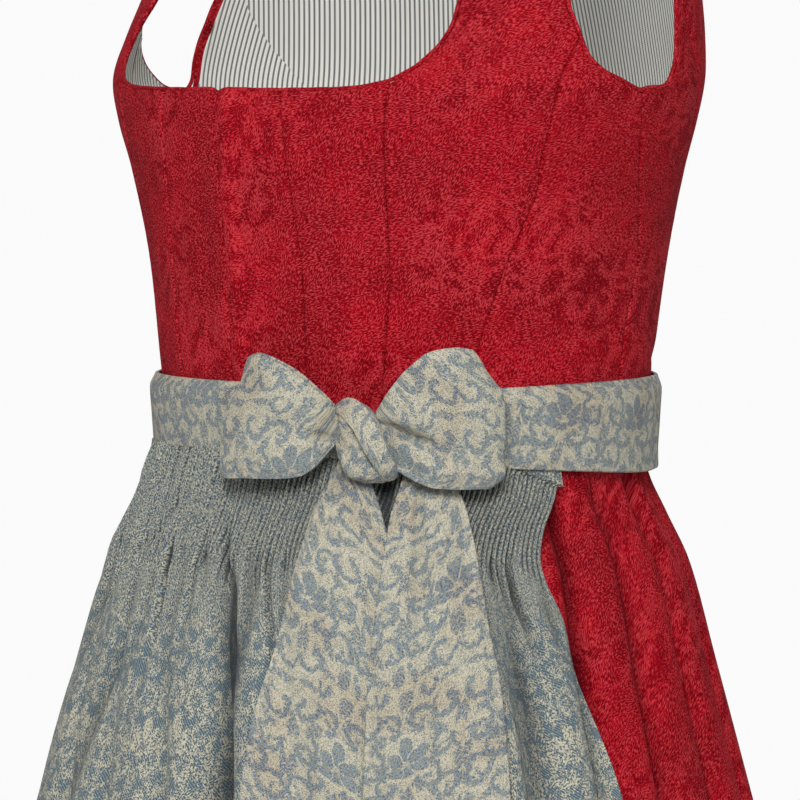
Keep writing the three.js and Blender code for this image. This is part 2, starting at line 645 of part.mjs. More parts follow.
// The tails hang on the apron's folds, the left front one over the other where they cross.
function tailWall(edges, lift, slant) {
  const columns = steps(TAIL_COLUMNS);
  const end = edges[edges.length - 1].z;
  const sheet = (extra) => edges.map(({ z, a, b }) => columns.map((u) => {
    const phi = mix(a, b, u);
    const low = ease(-z, -end - 80, -end);
    const height = z - slant * u * low;
    const onTie = TIE_OUT + THICK.tie - THICK.apron - RIB_HEIGHT;
    const rest = Math.max(apronRest(phi, height), onTie * (1 - ease(-height, 14, 26)));
    return offLevel(phi, height, rest + THICK.apron + RIB_HEIGHT + lift + extra);
  }));
  return wall(sheet(THICK.bow), sheet(0));
}

add("bow_tail_right", tailWall(TAIL_LEFT, 1.4, TAIL_END_SLANT), TIE_CLOTH);
add("bow_tail_left", tailWall(TAIL_RIGHT, 2.6 + THICK.bow, -TAIL_END_SLANT), TIE_CLOTH);

dress.position.set(0, -SHOULDER.y, -SHOULDER.z);
export default dress;
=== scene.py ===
# %% [markdown]
# # A dirndl, sewn in Blender
# A dirndl is a fitted bodice on a gathered skirt, with an apron tied over it. This one is shown as it
# is worn, filled out with nobody in it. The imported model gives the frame: where each panel, band and
# bow lies. Here each of its plain solids is replaced by a thin shell of cloth that follows the same
# form, with its folds, seams, stitching and weave. Lengths are millimetres until a mesh is made.

# %% Load the frame
import math

import bpy
import numpy as np
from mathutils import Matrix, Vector


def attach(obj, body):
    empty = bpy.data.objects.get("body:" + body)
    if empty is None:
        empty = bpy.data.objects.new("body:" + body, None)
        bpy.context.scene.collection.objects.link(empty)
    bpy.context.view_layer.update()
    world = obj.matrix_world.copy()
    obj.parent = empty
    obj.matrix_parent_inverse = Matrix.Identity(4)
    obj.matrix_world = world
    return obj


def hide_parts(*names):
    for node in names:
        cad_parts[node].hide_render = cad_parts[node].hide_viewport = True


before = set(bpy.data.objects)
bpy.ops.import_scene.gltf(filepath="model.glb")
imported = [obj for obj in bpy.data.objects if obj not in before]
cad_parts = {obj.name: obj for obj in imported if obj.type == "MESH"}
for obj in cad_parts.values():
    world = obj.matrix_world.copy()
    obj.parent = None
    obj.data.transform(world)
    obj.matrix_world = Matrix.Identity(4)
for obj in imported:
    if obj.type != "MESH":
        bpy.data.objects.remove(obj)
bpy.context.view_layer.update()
MM = 0.001
WAIST = np.array([0.0, -12.0, -370.0])  # the waist seam's middle; all heights below count from it
print("the frame holds", len(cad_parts), "nodes")

# %% [markdown]
# ## Camera, floor and light
# The camera comes first, so that every later piece is judged in its view. It is a long lens, a little
# above the waist and to the wearer's left, which keeps the folds upright. A big pale floor lies where
# the wearer's feet would stand. Four soft lamps and a white sky give studio light. The key stands
# above the camera and almost in line with it. The fill and the side lamp soften its shadows from the
# wearer's left and right, and the lamp behind lights the far edges.

# %% Camera
LOOK_AT = Vector((-0.0023, -0.0144, -0.3581))
AZIMUTH, ELEVATION = math.radians(46), math.radians(3.1)
DISTANCE = 3.2
back = Vector((math.sin(AZIMUTH) * math.cos(ELEVATION), -math.cos(AZIMUTH) * math.cos(ELEVATION),
               math.sin(ELEVATION)))
camera = bpy.data.objects.new("camera", bpy.data.cameras.new("camera"))
camera.data.sensor_width = 36
camera.data.lens = 302.4
camera.location = LOOK_AT + back * DISTANCE
camera.rotation_euler = back.to_track_quat("Z", "Y").to_euler()
bpy.context.scene.collection.objects.link(camera)
bpy.context.scene.camera = camera
print("camera at", [round(x, 3) for x in camera.location])

# %% Floor, sky and lamps
FLOOR_HEIGHT = -1.38
bpy.context.scene.view_settings.view_transform = "Standard"
bpy.ops.mesh.primitive_circle_add(vertices=128, radius=2.4, fill_type="NGON", location=(0, 0, FLOOR_HEIGHT))
floor = bpy.context.object
floor.name = "floor"
pale = bpy.data.materials.new("pale_floor")
pale.use_nodes = True
pale.node_tree.nodes["Principled BSDF"].inputs["Base Color"].default_value = (0.86, 0.86, 0.86, 1)
pale.node_tree.nodes["Principled BSDF"].inputs["Roughness"].default_value = 0.8
floor.data.materials.append(pale)

sky = bpy.data.worlds.new("studio")
sky.use_nodes = True
backdrop = sky.node_tree.nodes["Background"]
backdrop.inputs["Color"].default_value = (1, 1, 1, 1)
backdrop.inputs["Strength"].default_value = 0.96
ambient = sky.node_tree.nodes.new("ShaderNodeBackground")
ambient.inputs["Color"].default_value = (0.96, 0.98, 1, 1)
ambient.inputs["Strength"].default_value = 0.22
seen = sky.node_tree.nodes.new("ShaderNodeLightPath")
choose = sky.node_tree.nodes.new("ShaderNodeMixShader")
sky.node_tree.links.new(seen.outputs["Is Camera Ray"], choose.inputs[0])
sky.node_tree.links.new(ambient.outputs[0], choose.inputs[1])
sky.node_tree.links.new(backdrop.outputs[0], choose.inputs[2])
sky.node_tree.links.new(choose.outputs[0], sky.node_tree.nodes["World Output"].inputs["Surface"])
bpy.context.scene.world = sky


def lamp(name, turn, rise, away, size, power):
    """A soft square lamp at an angle from the front, which looks at the waist."""
    turn, rise = math.radians(turn), math.radians(rise)
    to = Vector((math.sin(turn) * math.cos(rise), -math.cos(turn) * math.cos(rise), math.sin(rise)))
    light = bpy.data.objects.new(name, bpy.data.lights.new(name, "AREA"))
    light.data.shape = "SQUARE"
    light.data.size = size
    light.data.energy = power
    light.location = LOOK_AT + to * away
    light.rotation_euler = to.to_track_quat("Z", "Y").to_euler()
    bpy.context.scene.collection.objects.link(light)


lamp("key", turn=42, rise=27, away=3.0, size=1.0, power=54)
lamp("fill", turn=95, rise=15, away=3.2, size=1.8, power=9)
lamp("side", turn=-30, rise=32, away=3.2, size=1.4, power=14)
lamp("behind", turn=215, rise=35, away=3.0, size=1.8, power=26)
print("sky and four lamps, with the floor at", FLOOR_HEIGHT)

# %% [markdown]
# ## Shader maths in Python
# A material in Blender is a graph of nodes. Wiring it by hand hides the idea behind the sum, so one
# small class wraps a socket: adding or multiplying two of them adds the Math node. The `node` method
# makes any other kind of node. The cloth materials below are then short sums on the cloth's own
# coordinates, across and up in millimetres, which every piece carries as an attribute.

# %% A socket with operators
class Tone:
    """One output socket of a material's nodes."""

    def __init__(self, tree, socket=None):
        self.tree = tree
        self.socket = socket

    def node(self, kind, settings, sockets, output=0):
        made = self.tree.nodes.new(kind)
        for name, value in settings.items():
            setattr(made, name, value)
        for name, value in sockets.items():
            if isinstance(value, Tone):
                self.tree.links.new(value.socket, made.inputs[name])
            else:
                made.inputs[name].default_value = value
        return Tone(self.tree, made.outputs[output])

    def math(self, operation, *others):
        return self.node("ShaderNodeMath", {"operation": operation}, dict(enumerate([self, *others])))

    def __add__(self, other):
        return self.math("ADD", other)

    def __sub__(self, other):
        return self.math("SUBTRACT", other)

    def __mul__(self, other):
        return self.math("MULTIPLY", other)

    def __truediv__(self, other):
        return self.math("DIVIDE", other)

    def __rsub__(self, other):
        return (self * -1) + other

    __radd__ = __add__
    __rmul__ = __mul__

    def __abs__(self):
        return self.math("ABSOLUTE")

    def cos(self):
        return self.math("COSINE")

    def floor(self):
        return self.math("FLOOR")

    def fract(self):
        return self.math("FRACT")

    def least(self, other):
        return self.math("MINIMUM", other)

    def most(self, other):
        return self.math("MAXIMUM", other)

    def ramp(self, start, end):
        """0 below start, 1 above end, and smooth between."""
        return self.node("ShaderNodeMapRange", {"interpolation_type": "SMOOTHSTEP"},
                         {"Value": self, "From Min": start, "From Max": end})

    def mix(self, low, high):
        """The colour low where this is 0, and high where it is 1."""
        return self.node("ShaderNodeMix", {"data_type": "RGBA"}, {0: self, 6: low, 7: high}, output=2)

    def point(self, other):
        return self.node("ShaderNodeCombineXYZ", {}, {"X": self, "Y": other})

    def noise(self, other, size, detail=1.0):
        """Smooth noise over this and another coordinate, whose spots are about size wide."""
        return self.node("ShaderNodeTexNoise", {"noise_dimensions": "2D"},
                         {"Vector": self.point(other), "Scale": 1 / size, "Detail": detail})

    def speck(self, other):
        """A random value for each whole step of this and the other coordinate."""
        return self.node("ShaderNodeTexWhiteNoise", {"noise_dimensions": "2D"},
                         {"Vector": self.floor().point(other.floor())})


def rgb(red, green, blue):
    """A colour as a screen shows it, from 0 to 255, turned into the linear light that Blender uses."""
    light = [c / 255 for c in (red, green, blue)]
    return tuple(c / 12.92 if c < 0.04 else ((c + 0.055) / 1.055) ** 2.4 for c in light) + (1,)


print("a red of", [round(c, 3) for c in rgb(190, 20, 45)])


# %% [markdown]
# ## A damask repeat
# Damask weaves scrolls, leaves and palmettes in a mirrored repeat, each row set half a repeat aside.
# An image would be the usual way, but a formula stays sharp at any size and needs no file. Each motif
# is a field that is positive inside the motif, in millimetres: a leaf lies between two arcs, a scroll
# is a spiral of teeth with a bulb at its inner end, and a palmette's radius swings with the angle.
# The union of motifs is the largest field. Each cloth adds the field to its own pattern of yarns, so
# that a motif has a ragged, woven edge and is only thicker or thinner in yarns than the ground.

# %% Motifs as fields
def turned(x, y, at, angle):
    """Coordinates from a motif's middle, turned by its angle in degrees."""
    cos, sin = math.cos(math.radians(angle)), math.sin(math.radians(angle))
    dx, dy = x - at[0], y - at[1]
    return dx * cos + dy * sin, dy * cos - dx * sin


def distance(x, y, at):
    dx, dy = x - at[0], y - at[1]
    return dx, dy, (dx * dx + dy * dy).math("SQRT")


def leaf(x, y, at, angle, long, wide):
    """A pointed leaf with veins across it."""
    along, aside = turned(x, y, at, angle)
    bulge = (1 - along * along / long ** 2) * wide - abs(aside)
    return bulge.least(((along + abs(aside)) * (2 * math.pi / 2.6)).cos() * 1.3 + 0.9)


def volute(x, y, at, radius, thick, start, hand, span=0.8):
    """A curled leaf: a bulb at its inner end, then a spiral of slanting teeth that thins as it opens."""
    dx, dy, reach = distance(x, y, at)
    along = ((dy.math("ARCTAN2", dx) * (hand / (2 * math.pi))) - start * hand / 360).fract()
    aside = reach - (along * (0.5 / span) + 0.5) * radius
    teeth = (along * 8 - aside * 0.2).fract() * 1.2 + 0.45
    body = ((1.15 - along * (0.6 / span)) * teeth * thick - abs(aside)).least((span - along) * 24)
    turn = math.radians(start)
    bulb = (at[0] + math.cos(turn) * radius * 0.46, at[1] + math.sin(turn) * radius * 0.46)
    return body.most(thick * 0.9 - distance(x, y, bulb)[2])


def dot(x, y, at, radius):
    return radius - distance(x, y, at)[2]


def palmette(x, y, at, radius, petals):
    """Petals that fan upward from a point, longest in the middle."""
    dx, dy, reach = distance(x, y, at)
    turn = dx.math("ARCTAN2", dy)
    swing = abs((turn * (petals / 2)).cos())
    long = (swing * 0.45 + 0.55) * (turn * 0.46).cos() * radius - reach
    return long.least(swing * reach * 0.6 - 0.8).least(reach - radius * 0.18)


REPEAT_WIDE, REPEAT_HIGH = 58, 78
VOLUTES = [  # x, y, radius, thickness, start, hand
    (9.6, -10.0, 8.8, 1.8, 200, 1), (20.2, 3.0, 8.4, 1.7, 20, -1), (8.2, 19.0, 8.0, 1.7, 265, -1),
    (20.8, 22.5, 7.8, 1.6, 60, -1), (21.6, -20.0, 8.2, 1.7, 240, 1), (7.6, -29.5, 7.4, 1.6, 100, -1),
    (11.4, 35.5, 5.2, 1.3, 180, 1),
]
LEAVES = [  # x, y, angle, length, width
    (14.6, -1.6, 60, 6.4, 2.1), (27.0, -8.0, 95, 7.6, 2.2), (16.0, 12.6, 140, 6.0, 1.9),
    (27.6, 13.6, 80, 6.4, 2.0), (14.6, -21.0, 120, 6.4, 2.0), (25.4, -33.6, 70, 6.8, 2.1),
    (1.2, 31.0, 90, 6.6, 2.0), (22.0, 35.4, 12, 6.2, 1.9), (1.6, -20.0, 90, 6.4, 1.9),
    (16.4, -33.8, 150, 6.0, 1.8), (9.4, -9.6, 20, 3.0, 1.1), (20.4, 3.4, 160, 3.0, 1.1),
    (8.0, 19.4, 40, 2.8, 1.0), (21.8, -20.4, 70, 2.8, 1.0),
]


def damask(across, up, size=1.0, count=99):
    """The field of the first motifs of each kind at a place on the cloth; positive inside a motif."""
    row = (up / (REPEAT_HIGH * size)).floor()
    y = up / size - (row + 0.5) * REPEAT_HIGH
    x = abs((across / (REPEAT_WIDE * size) + row * 0.5).fract() - 0.5) * REPEAT_WIDE
    field = palmette(x, y, (0, -3), 15, 7).most(dot(x, y, (0, -5.5), 2.4))
    for at_x, at_y, radius, thick, start, hand in VOLUTES[:count]:
        field = field.most(volute(x, y, (at_x, at_y), radius, thick, start, hand))
    for at_x, at_y, angle, long, wide in LEAVES[:count]:
        field = field.most(leaf(x, y, (at_x, at_y), angle, long, wide))
    return field


print("damask repeats every", REPEAT_WIDE, "by", REPEAT_HIGH, "mm, with", len(VOLUTES), "volutes")


# %% [markdown]
# ## The cloths
# All cloths start the same way: a Principled shader with a soft sheen, and the piece's own
# coordinates. The bodice and skirt are one red jacquard, where short pale floats of yarn lie thick in
# the motifs and thin in the ground. The tie shows the cream side of a blue and cream jacquard: blue
# motifs with pin dots. The apron is the same cloth turned over, so it is blue twill with cream motifs.
# The lining is a pinstripe whose dark yarns waver a little. Bump follows the same weave.
# The red and the apron also get painted shade where the cloth lies deep in a fold.

# %% A start for each cloth
def start_cloth(name, roughness, sheen):
    """A new material, with its coordinates across and up the cloth."""
    made = bpy.data.materials.new(name)
    made.use_nodes = True
    shader = made.node_tree.nodes["Principled BSDF"]
    shader.inputs["Roughness"].default_value = roughness
    shader.inputs["Sheen Weight"].default_value = sheen
    shader.inputs["Sheen Roughness"].default_value = 0.45
    shader.inputs["Specular IOR Level"].default_value = 0.3
    start = Tone(made.node_tree)
    place = start.node("ShaderNodeAttribute", {"attribute_name": "cloth"}, {}, output="Vector")
    across = place.node("ShaderNodeSeparateXYZ", {}, {0: place})
    up = Tone(made.node_tree, across.socket.node.outputs["Y"])
    return made, shader, across, up


def paint_fold_shade(colour, across, dark):
    """Paints shade into the colour, towards the dark colour, where the piece's third coordinate says that the
    cloth lies deep in a fold.
    """
    fold_shade_depth = Tone(across.tree, across.socket.node.outputs["Z"])
    return (fold_shade_depth.ramp(0.0, 1.0) * 0.85).mix(colour, dark)


def finish_cloth(made, shader, colour, height, depth):
    """Links the colour and a bump of that depth in millimetres."""
    sockets = {"Height": height, "Strength": 1.0, "Distance": depth * MM}
    normal = height.node("ShaderNodeBump", {}, sockets, "Normal")
    made.node_tree.links.new(colour.socket, shader.inputs["Base Color"])
    made.node_tree.links.new(normal.socket, shader.inputs["Normal"])
    return made


# %% Red jacquard
def floats(across, up, angle, long, wide):
    """Short pale yarns that lie at an angle, as 0 to 1."""
    along, aside = turned(across, up, (0, 0), angle)
    return (along / long).noise(aside / wide, 1.0)


def dashes(across, up, size, first, second, long, wide):
    """Dashes in one of two directions, which change from patch to patch of that size."""
    patch = across.noise(up, size).ramp(0.46, 0.54)
    other = floats(across + 40, up, second, long, wide)
    return patch * floats(across, up, first, long, wide) + (1 - patch) * other


def red_jacquard(name):
    made, shader, across, up = start_cloth(name, 0.85, 0.0)
    shader.inputs["Specular IOR Level"].default_value = 0.12
    sway = across.noise(up, 24.0) * 16.0
    figured = across.noise(up, 60.0).ramp(0.4, 0.6) * 0.7 + 0.3
    field = damask(across + sway, up + sway * 1.6, 1.1, 8).most(-2.4).least(1.2)
    yarn = dashes(across, up, 13.0, 66, 16, 1.6, 0.56)
    lift = yarn + (field + 0.9) * figured * 0.045
    cloudy = across.noise(up, 38.0, 2.0).ramp(0.3, 0.7)
    ground = (cloudy * 0.7).mix(rgb(158, 0, 20), rgb(196, 4, 30))
    colour = (lift.ramp(0.49, 0.37) * 0.85).mix(ground, rgb(100, 0, 12))
    colour = (lift.ramp(0.53, 0.64) * 0.55).mix(colour, rgb(232, 82, 90))
    # rgb(52, 0, 6) is painted shade, laid over the red where the cloth lies deep in a fold.
    return finish_cloth(made, shader, paint_fold_shade(colour, across, rgb(52, 0, 6)), lift, 0.24)


RED = red_jacquard("red_jacquard")
print("made", RED.name)


# %% Blue and cream jacquard, both sides
def tie_jacquard(name):
    made, shader, across, up = start_cloth(name, 0.8, 0.06)
    sway = across.noise(up, 10.0) * 5.0
    field = damask(across + sway, up - sway, 0.9).most(-3.0).least(1.6)
    weft = dashes(across, up, 9.0, 12, 64, 1.25, 0.5)
    dots = (across * (2 * math.pi / 1.35)).cos() * (up * (2 * math.pi / 1.2)).cos()
    ragged = across.noise(up, 1.7) * 1.6 - 0.8
    figure = ((field + ragged) * 0.17).least(0.07).most(-0.13)
    motif = (weft + dots * 0.04 + figure).ramp(0.49, 0.56)
    deep = across.noise(up, 30.0).ramp(0.45, 0.7)
    cream = deep.mix(rgb(214, 208, 186), rgb(206, 195, 170))
    cream = (weft.ramp(0.48, 0.36) * 0.75).mix(cream, rgb(122, 118, 100))
    blue = deep.mix(rgb(106, 132, 150), rgb(84, 110, 138))
    blue = (weft.ramp(0.56, 0.68) * 0.75).mix(blue, rgb(58, 80, 106))
    colour = (motif * 0.92).mix(cream, blue)
    return finish_cloth(made, shader, colour, weft, 0.24)


def apron_jacquard(name):
    made, shader, across, up = start_cloth(name, 0.8, 0.06)
    sway = across.noise(up, 10.0) * 5.0
    field = damask(across - sway, up + sway, 1.0).most(-3.6).least(1.8)
    twill = ((across * 0.62 + up * 0.78) * (2 * math.pi / 1.3)).cos()
    curl = dashes(across, up, 8.0, 38, -42, 1.5, 0.62)
    speckle = (across / 0.62).speck(up / 0.55)
    blue = twill.ramp(-0.9, 0.9).mix(rgb(74, 96, 112), rgb(142, 160, 166))
    blue = (speckle * 0.4).mix(blue, rgb(88, 102, 108))
    cream = (speckle * 0.5).mix(rgb(228, 222, 198), rgb(178, 174, 156))
    pleated = up.ramp(556, 574)
    field = field * (1 - pleated * 0.8)
    strand = (curl + (field - 0.1) * 0.055).ramp(0.48, 0.55)
    shade = curl.ramp(0.44, 0.36) * (field * 0.2 + 0.6).most(0)
    colour = (shade * 0.7).mix(strand.mix(blue, cream), rgb(58, 76, 88))
    # rgb(26, 34, 42) is painted shade, laid over the apron deep in its ribs' valleys, gathers and creases.
    colour = paint_fold_shade(colour, across, rgb(26, 34, 42))
    return finish_cloth(made, shader, colour, twill * 0.25 + strand + curl * 0.4, 0.24)


TIE_CLOTH = tie_jacquard("tie_jacquard")
APRON_CLOTH = apron_jacquard("apron_jacquard")
print("made", TIE_CLOTH.name, "and", APRON_CLOTH.name)


# %% Pinstripe and thread
def pinstripe(name):
    made, shader, across, up = start_cloth(name, 0.85, 0.05)
    waver = abs((up / 0.95).fract() - 0.5) * 0.2
    stripe = abs((across / 2.6 + waver).fract() - 0.5)
    dark = stripe.ramp(0.23, 0.13) * ((up * (2 * math.pi / 0.95)).cos() * 0.14 + 0.84)
    colour = dark.mix(rgb(242, 242, 236), rgb(64, 64, 60))
    return finish_cloth(made, shader, colour, dark * -1, 0.12)


def thread(name, pale, dark):
    made, shader, across, up = start_cloth(name, 0.6, 0.1)
    twist = ((across * 0.8 + up) * (2 * math.pi / 0.45)).cos()
    return finish_cloth(made, shader, twist.ramp(-1.0, 1.0).mix(dark, pale), twist, 0.05)


LINING = pinstripe("lining_pinstripe")
CREAM_THREAD = thread("cream_thread", rgb(226, 220, 204), rgb(188, 180, 160))
print("made lining and thread")

# %% [markdown]
# ## The form
# A bodice is cut to a body, so its panels are easiest to place on one smooth form. Level sections
# give the form: half width, half depths in front and behind, and each section's middle. A panel is
# then only a stretch of angle and height on it. Smooth curves run through every table's rows.

# %% Smooth tables
def curve(rows, x, column=1):
    """A smooth value between the rows of a table, through every row."""
    rows = np.asarray(rows, float)
    if rows[0, 0] > rows[-1, 0]:
        rows = rows[::-1]
    knots, values = rows[:, 0], rows[:, column]
    slopes = np.gradient(values, knots)
    slopes[1:-1] = (values[2:] - values[:-2]) / (knots[2:] - knots[:-2])
    x = np.clip(x, knots[0], knots[-1])
    i = np.clip(np.searchsorted(knots, x, side="right") - 1, 0, len(knots) - 2)
    h = knots[i + 1] - knots[i]
    u = (x - knots[i]) / h
    return ((2 * u**3 - 3 * u**2 + 1) * values[i] + (u**3 - 2 * u**2 + u) * h * slopes[i]
            + (3 * u**2 - 2 * u**3) * values[i + 1] + (u**3 - u**2) * h * slopes[i + 1])


def ease(x, start, end):
    """0 below start, 1 above end, and smooth between."""
    u = np.clip((x - start) / (end - start), 0, 1)
    return u * u * (3 - 2 * u)


def blend(a, b, share):
    return a + (b - a) * share


# %% The form's sections
FORM = [  # t, z, half width, half depth in front, half depth behind, middle
    (-650, -650, 300, 290, 305, 0), (-450, -450, 240, 228, 245, 0), (-300, -300, 198, 184, 198, 0),
    (-179, -179, 168, 154, 163, 0), (-110, -110, 149.5, 140, 144.5, 0), (-64, -64, 138, 130.5, 131, 0),
    (-40, -40, 127, 120.5, 119.5, 0), (-20, -20, 120.5, 113.5, 108, 0), (0, 0, 119, 111.5, 107.5, 0),
    (40, 40, 122, 115, 114, 0), (83, 83, 128, 118.5, 120, 0), (122, 122, 140, 123, 122, 0),
    (145, 145, 151, 125, 121, 0), (165, 165, 159, 122, 119, 0), (185, 185, 161, 106, 116, 0),
    (210, 210, 160, 83, 112, 0), (250, 250, 157, 62, 101, 3), (300, 300, 154, 42, 78, 8),
    (340, 338, 152, 24, 48, 11), (365, 359.5, 151, 13, 26, 12), (380, 367.5, 150, 7, 14, 12),
    (392, 370, 150, 0, 0, 12),
]
SHOULDER_FALL = 0.26


def unit(vectors):
    return vectors / np.maximum(np.linalg.norm(vectors, axis=-1, keepdims=True), 1e-12)


def form_point(phi, t):
    angle = np.radians(phi)
    x = curve(FORM, t, 2) * np.sin(angle)
    depth = np.where(np.cos(angle) > 0, curve(FORM, t, 3), curve(FORM, t, 4))
    z = curve(FORM, t, 1) - SHOULDER_FALL * ease(t, 240, 392) * (np.abs(x) - 95)
    return np.stack([x, curve(FORM, t, 5) - depth * np.cos(angle), z], -1)


def form_normal(phi, t):
    step = 0.05
    low = np.minimum(t, 391) - step
    along = form_point(phi + step, low) - form_point(phi - step, low)
    normal = unit(np.cross(along, form_point(phi, low + step) - form_point(phi, low - step)))
    normal[..., 1] *= 1 - ease(t, 360, 391)
    return unit(normal)


def off_form(phi, t, out):
    phi, t, out = np.broadcast_arrays(phi, t, out)
    return form_point(phi, t) + form_normal(phi, t) * out[..., None]


def off_level(phi, z, out):
    """As off_form, but moved out level, so that hems keep their height."""
    phi, z, out = np.broadcast_arrays(phi, z, out)
    level = form_normal(phi, z) * np.array([1, 1, 0])
    return form_point(phi, z) + unit(level) * out[..., None]


waist_steps = np.diff(form_point(np.arange(361), 0), axis=0)
print("waist round", round(np.linalg.norm(waist_steps, axis=1).sum()), "mm")


# %% [markdown]
# ## From a grid of points to a piece of cloth
# Every piece is a grid of points: columns run across it and rows up it. A second sheet behind it and
# a rounded rim make it a closed wall, as real cloth has two sides and a turned edge. A Solidify
# modifier would do the same, but it can't give each side its own cloth. The grid's arc lengths are
# the cloth coordinates that the materials read, so a weave keeps its size on every piece.

# %% Grids, coordinates and walls
def run(points, axis):
    """How far each point lies along its row or column."""
    steps = np.linalg.norm(np.diff(points, axis=axis), axis=-1)
    start = np.zeros_like(np.take(steps, [0], axis=axis))
    return np.concatenate([start, np.cumsum(steps, axis=axis)], axis=axis)


def borders(points):
    """Each point's distance from the left, right, lower and upper edge."""
    across, up = run(points, 1), run(points, 0)
    return across, across[:, -1:] - across, up, up[-1:] - up


def grid_normal(points):
    return unit(np.cross(np.gradient(points, axis=1), np.gradient(points, axis=0)))


def ring_of(rows, columns):
    """The indices round a grid's rim."""
    ids = np.arange(rows * columns).reshape(rows, columns)
    return np.concatenate([ids[0, :-1], ids[:-1, -1], ids[-1, :0:-1], ids[:0:-1, 0]])


def quads(ids):
    return np.stack([ids[:-1, :-1], ids[:-1, 1:], ids[1:, 1:], ids[1:, :-1]], -1).reshape(-1, 4)


def make_mesh(name, points, faces, cloth, finishes, face_finish=None):
    """A piece from points in millimetres, with its cloth coordinates and finishes."""
    mesh = bpy.data.meshes.new(name)
    mesh.from_pydata(((points + WAIST) * MM).tolist(), [], faces.tolist())
    coordinates = mesh.attributes.new("cloth", "FLOAT_VECTOR", "POINT")
    coordinates.data.foreach_set("vector", cloth.astype(np.float32).ravel())
    for finish in finishes:
        mesh.materials.append(finish)
    if face_finish is not None:
        mesh.polygons.foreach_set("material_index", face_finish.astype(np.int32))
    mesh.shade_smooth()
    mesh.validate()
    piece = bpy.data.objects.new(name, mesh)
    bpy.context.scene.collection.objects.link(piece)
    return piece


def wall(name, outer, inner, finishes, cloth=None, shift=(0, 0), fold_shade_depth=None):
    """A closed wall between two grids, whose inner side takes a second finish where one is given.

    The third cloth coordinate says how deep in a fold each point lies; the materials paint shade there.
    """
    rows, columns = outer.shape[:2]
    if cloth is None:
        left, _, low, _ = borders(outer)
        cloth = np.stack([left - left[:, -1:] / 2, low], -1)
    count = rows * columns
    ring = ring_of(rows, columns)
    flat_outer, flat_inner = outer.reshape(-1, 3), inner.reshape(-1, 3)
    ids = np.arange(count).reshape(rows, columns)
    inward = np.concatenate([ids[1, :-1], ids[:-1, -2], ids[-2, :0:-1], ids[:0:-1, 1]])
    away = unit(flat_outer[ring] - flat_outer[inward])
    thick = np.linalg.norm(flat_outer[ring] - flat_inner[ring], axis=1, keepdims=True)
    rim = (flat_outer[ring] + flat_inner[ring]) / 2 + away * thick * 0.3
    points = np.concatenate([flat_outer, flat_inner, rim])
    coords = np.zeros((len(points), 3))
    flat_cloth = cloth.reshape(-1, 2) + np.array(shift)
    coords[:, :2] = np.concatenate([flat_cloth, flat_cloth, flat_cloth[ring]])
    if fold_shade_depth is not None:
        depth = np.broadcast_to(fold_shade_depth, (rows, columns)).ravel()
        coords[:, 2] = np.concatenate([depth, depth, depth[ring]])
    following = np.roll(ring, -1)
    rim_ids = 2 * count + np.arange(len(ring))
    rim_next = np.roll(rim_ids, -1)
    faces = np.concatenate([
        quads(ids), quads(ids + count)[:, ::-1],
        np.stack([ring, rim_ids, rim_next, following], -1),
        np.stack([rim_ids, ring + count, following + count, rim_next], -1),
    ])
    side = np.zeros(len(faces))
    quad_count = (rows - 1) * (columns - 1)
    side[quad_count:2 * quad_count] = len(finishes) > 1
    a, b, c = points[faces[:, 0]], points[faces[:, 1]], points[faces[:, 2]]
    if (a * np.cross(b, c)).sum() < 0:
        faces = faces[:, ::-1]
    return make_mesh(name, points, faces, coords, finishes, side)


# %% Attaching a piece
def wear(piece, nodes, grid, flat=None):
    """Attaches the piece, hides the parts it replaces and prints the size of its cut; grid gives that size.
    """
    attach(piece, "root")
    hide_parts(*nodes)
    across, up = run(grid, 1)[:, -1], run(grid, 0)[-1]
    if flat is None:
        steps_across, steps_up = np.diff(grid, axis=1)[:-1], np.diff(grid, axis=0)[:, :-1]
        area = np.linalg.norm(np.cross(steps_across, steps_up), axis=-1).sum() * MM**2
        flat = [round(across.max() * MM, 3), round(up.max() * MM, 3)]
        round(min(area, flat[0] * flat[1]), 5)
    print(f"{piece.name}: cut {flat[0]:.3f} x {flat[1]:.3f} m, {len(piece.data.polygons)} faces")


# %% [markdown]
# ## Bodice panels
# Twelve red panels shape the bodice: princess seams run from the waist over the bust and into the
# straps. Each panel is given for the wearer's left by its two edges and then mirrored. Real seams pull
# the cloth in, so each panel dips along its edges, and a seam's pull leaves faint puckers beside it.
# Creases are soft troughs given in degrees and height. The front panels' inner side shows the pinstripe
# lining.

# %% Seam and edge tables
CENTRE_FRONT = 0.6
SEAM_FRONT = [(0, 20.4), (60, 20.6), (80, 20.2), (100, 18.8), (120, 17.4), (140, 15.9), (164, 14.4)]
SEAM_MIDDLE = [(0, 37.6), (40, 39.2), (66, 40), (84, 39.8), (110, 38.5), (129, 37.2), (151, 35.7),
               (164, 35.2)]
SEAM_PRINCESS = [(0, 56.5), (40, 60.2), (60, 63), (80, 65.8), (100, 68.8), (113, 70.3), (126, 69.6),
                 (144, 69.1), (164, 68.3), (176, 68.8), (184, 70)]
SEAM_SIDE = [(0, 102.5), (50, 103.2), (80, 105), (100, 102), (128, 95.9), (159, 89.2)]
SEAM_BACK = [(0, 152), (40, 147), (80, 138), (120, 126), (163, 114), (190, 105.5), (203, 102.6)]
NECK_MIDDLE = [(14.8, 159.8), (26.5, 160.4), (31, 161.6), (35.2, 164)]
NECK_STRAP = [(164, 35.2), (170, 38.6), (176, 40.4), (184, 41.8), (193, 41.9), (201, 41), (225, 41),
              (250, 41.5), (300, 40.4), (350, 39.8), (392, 39.3)]
ARM_STRAP = [(184, 70), (191, 67.8), (201, 64.6), (225, 64.5), (250, 65.5), (300, 67), (350, 68.5), (392, 69)]
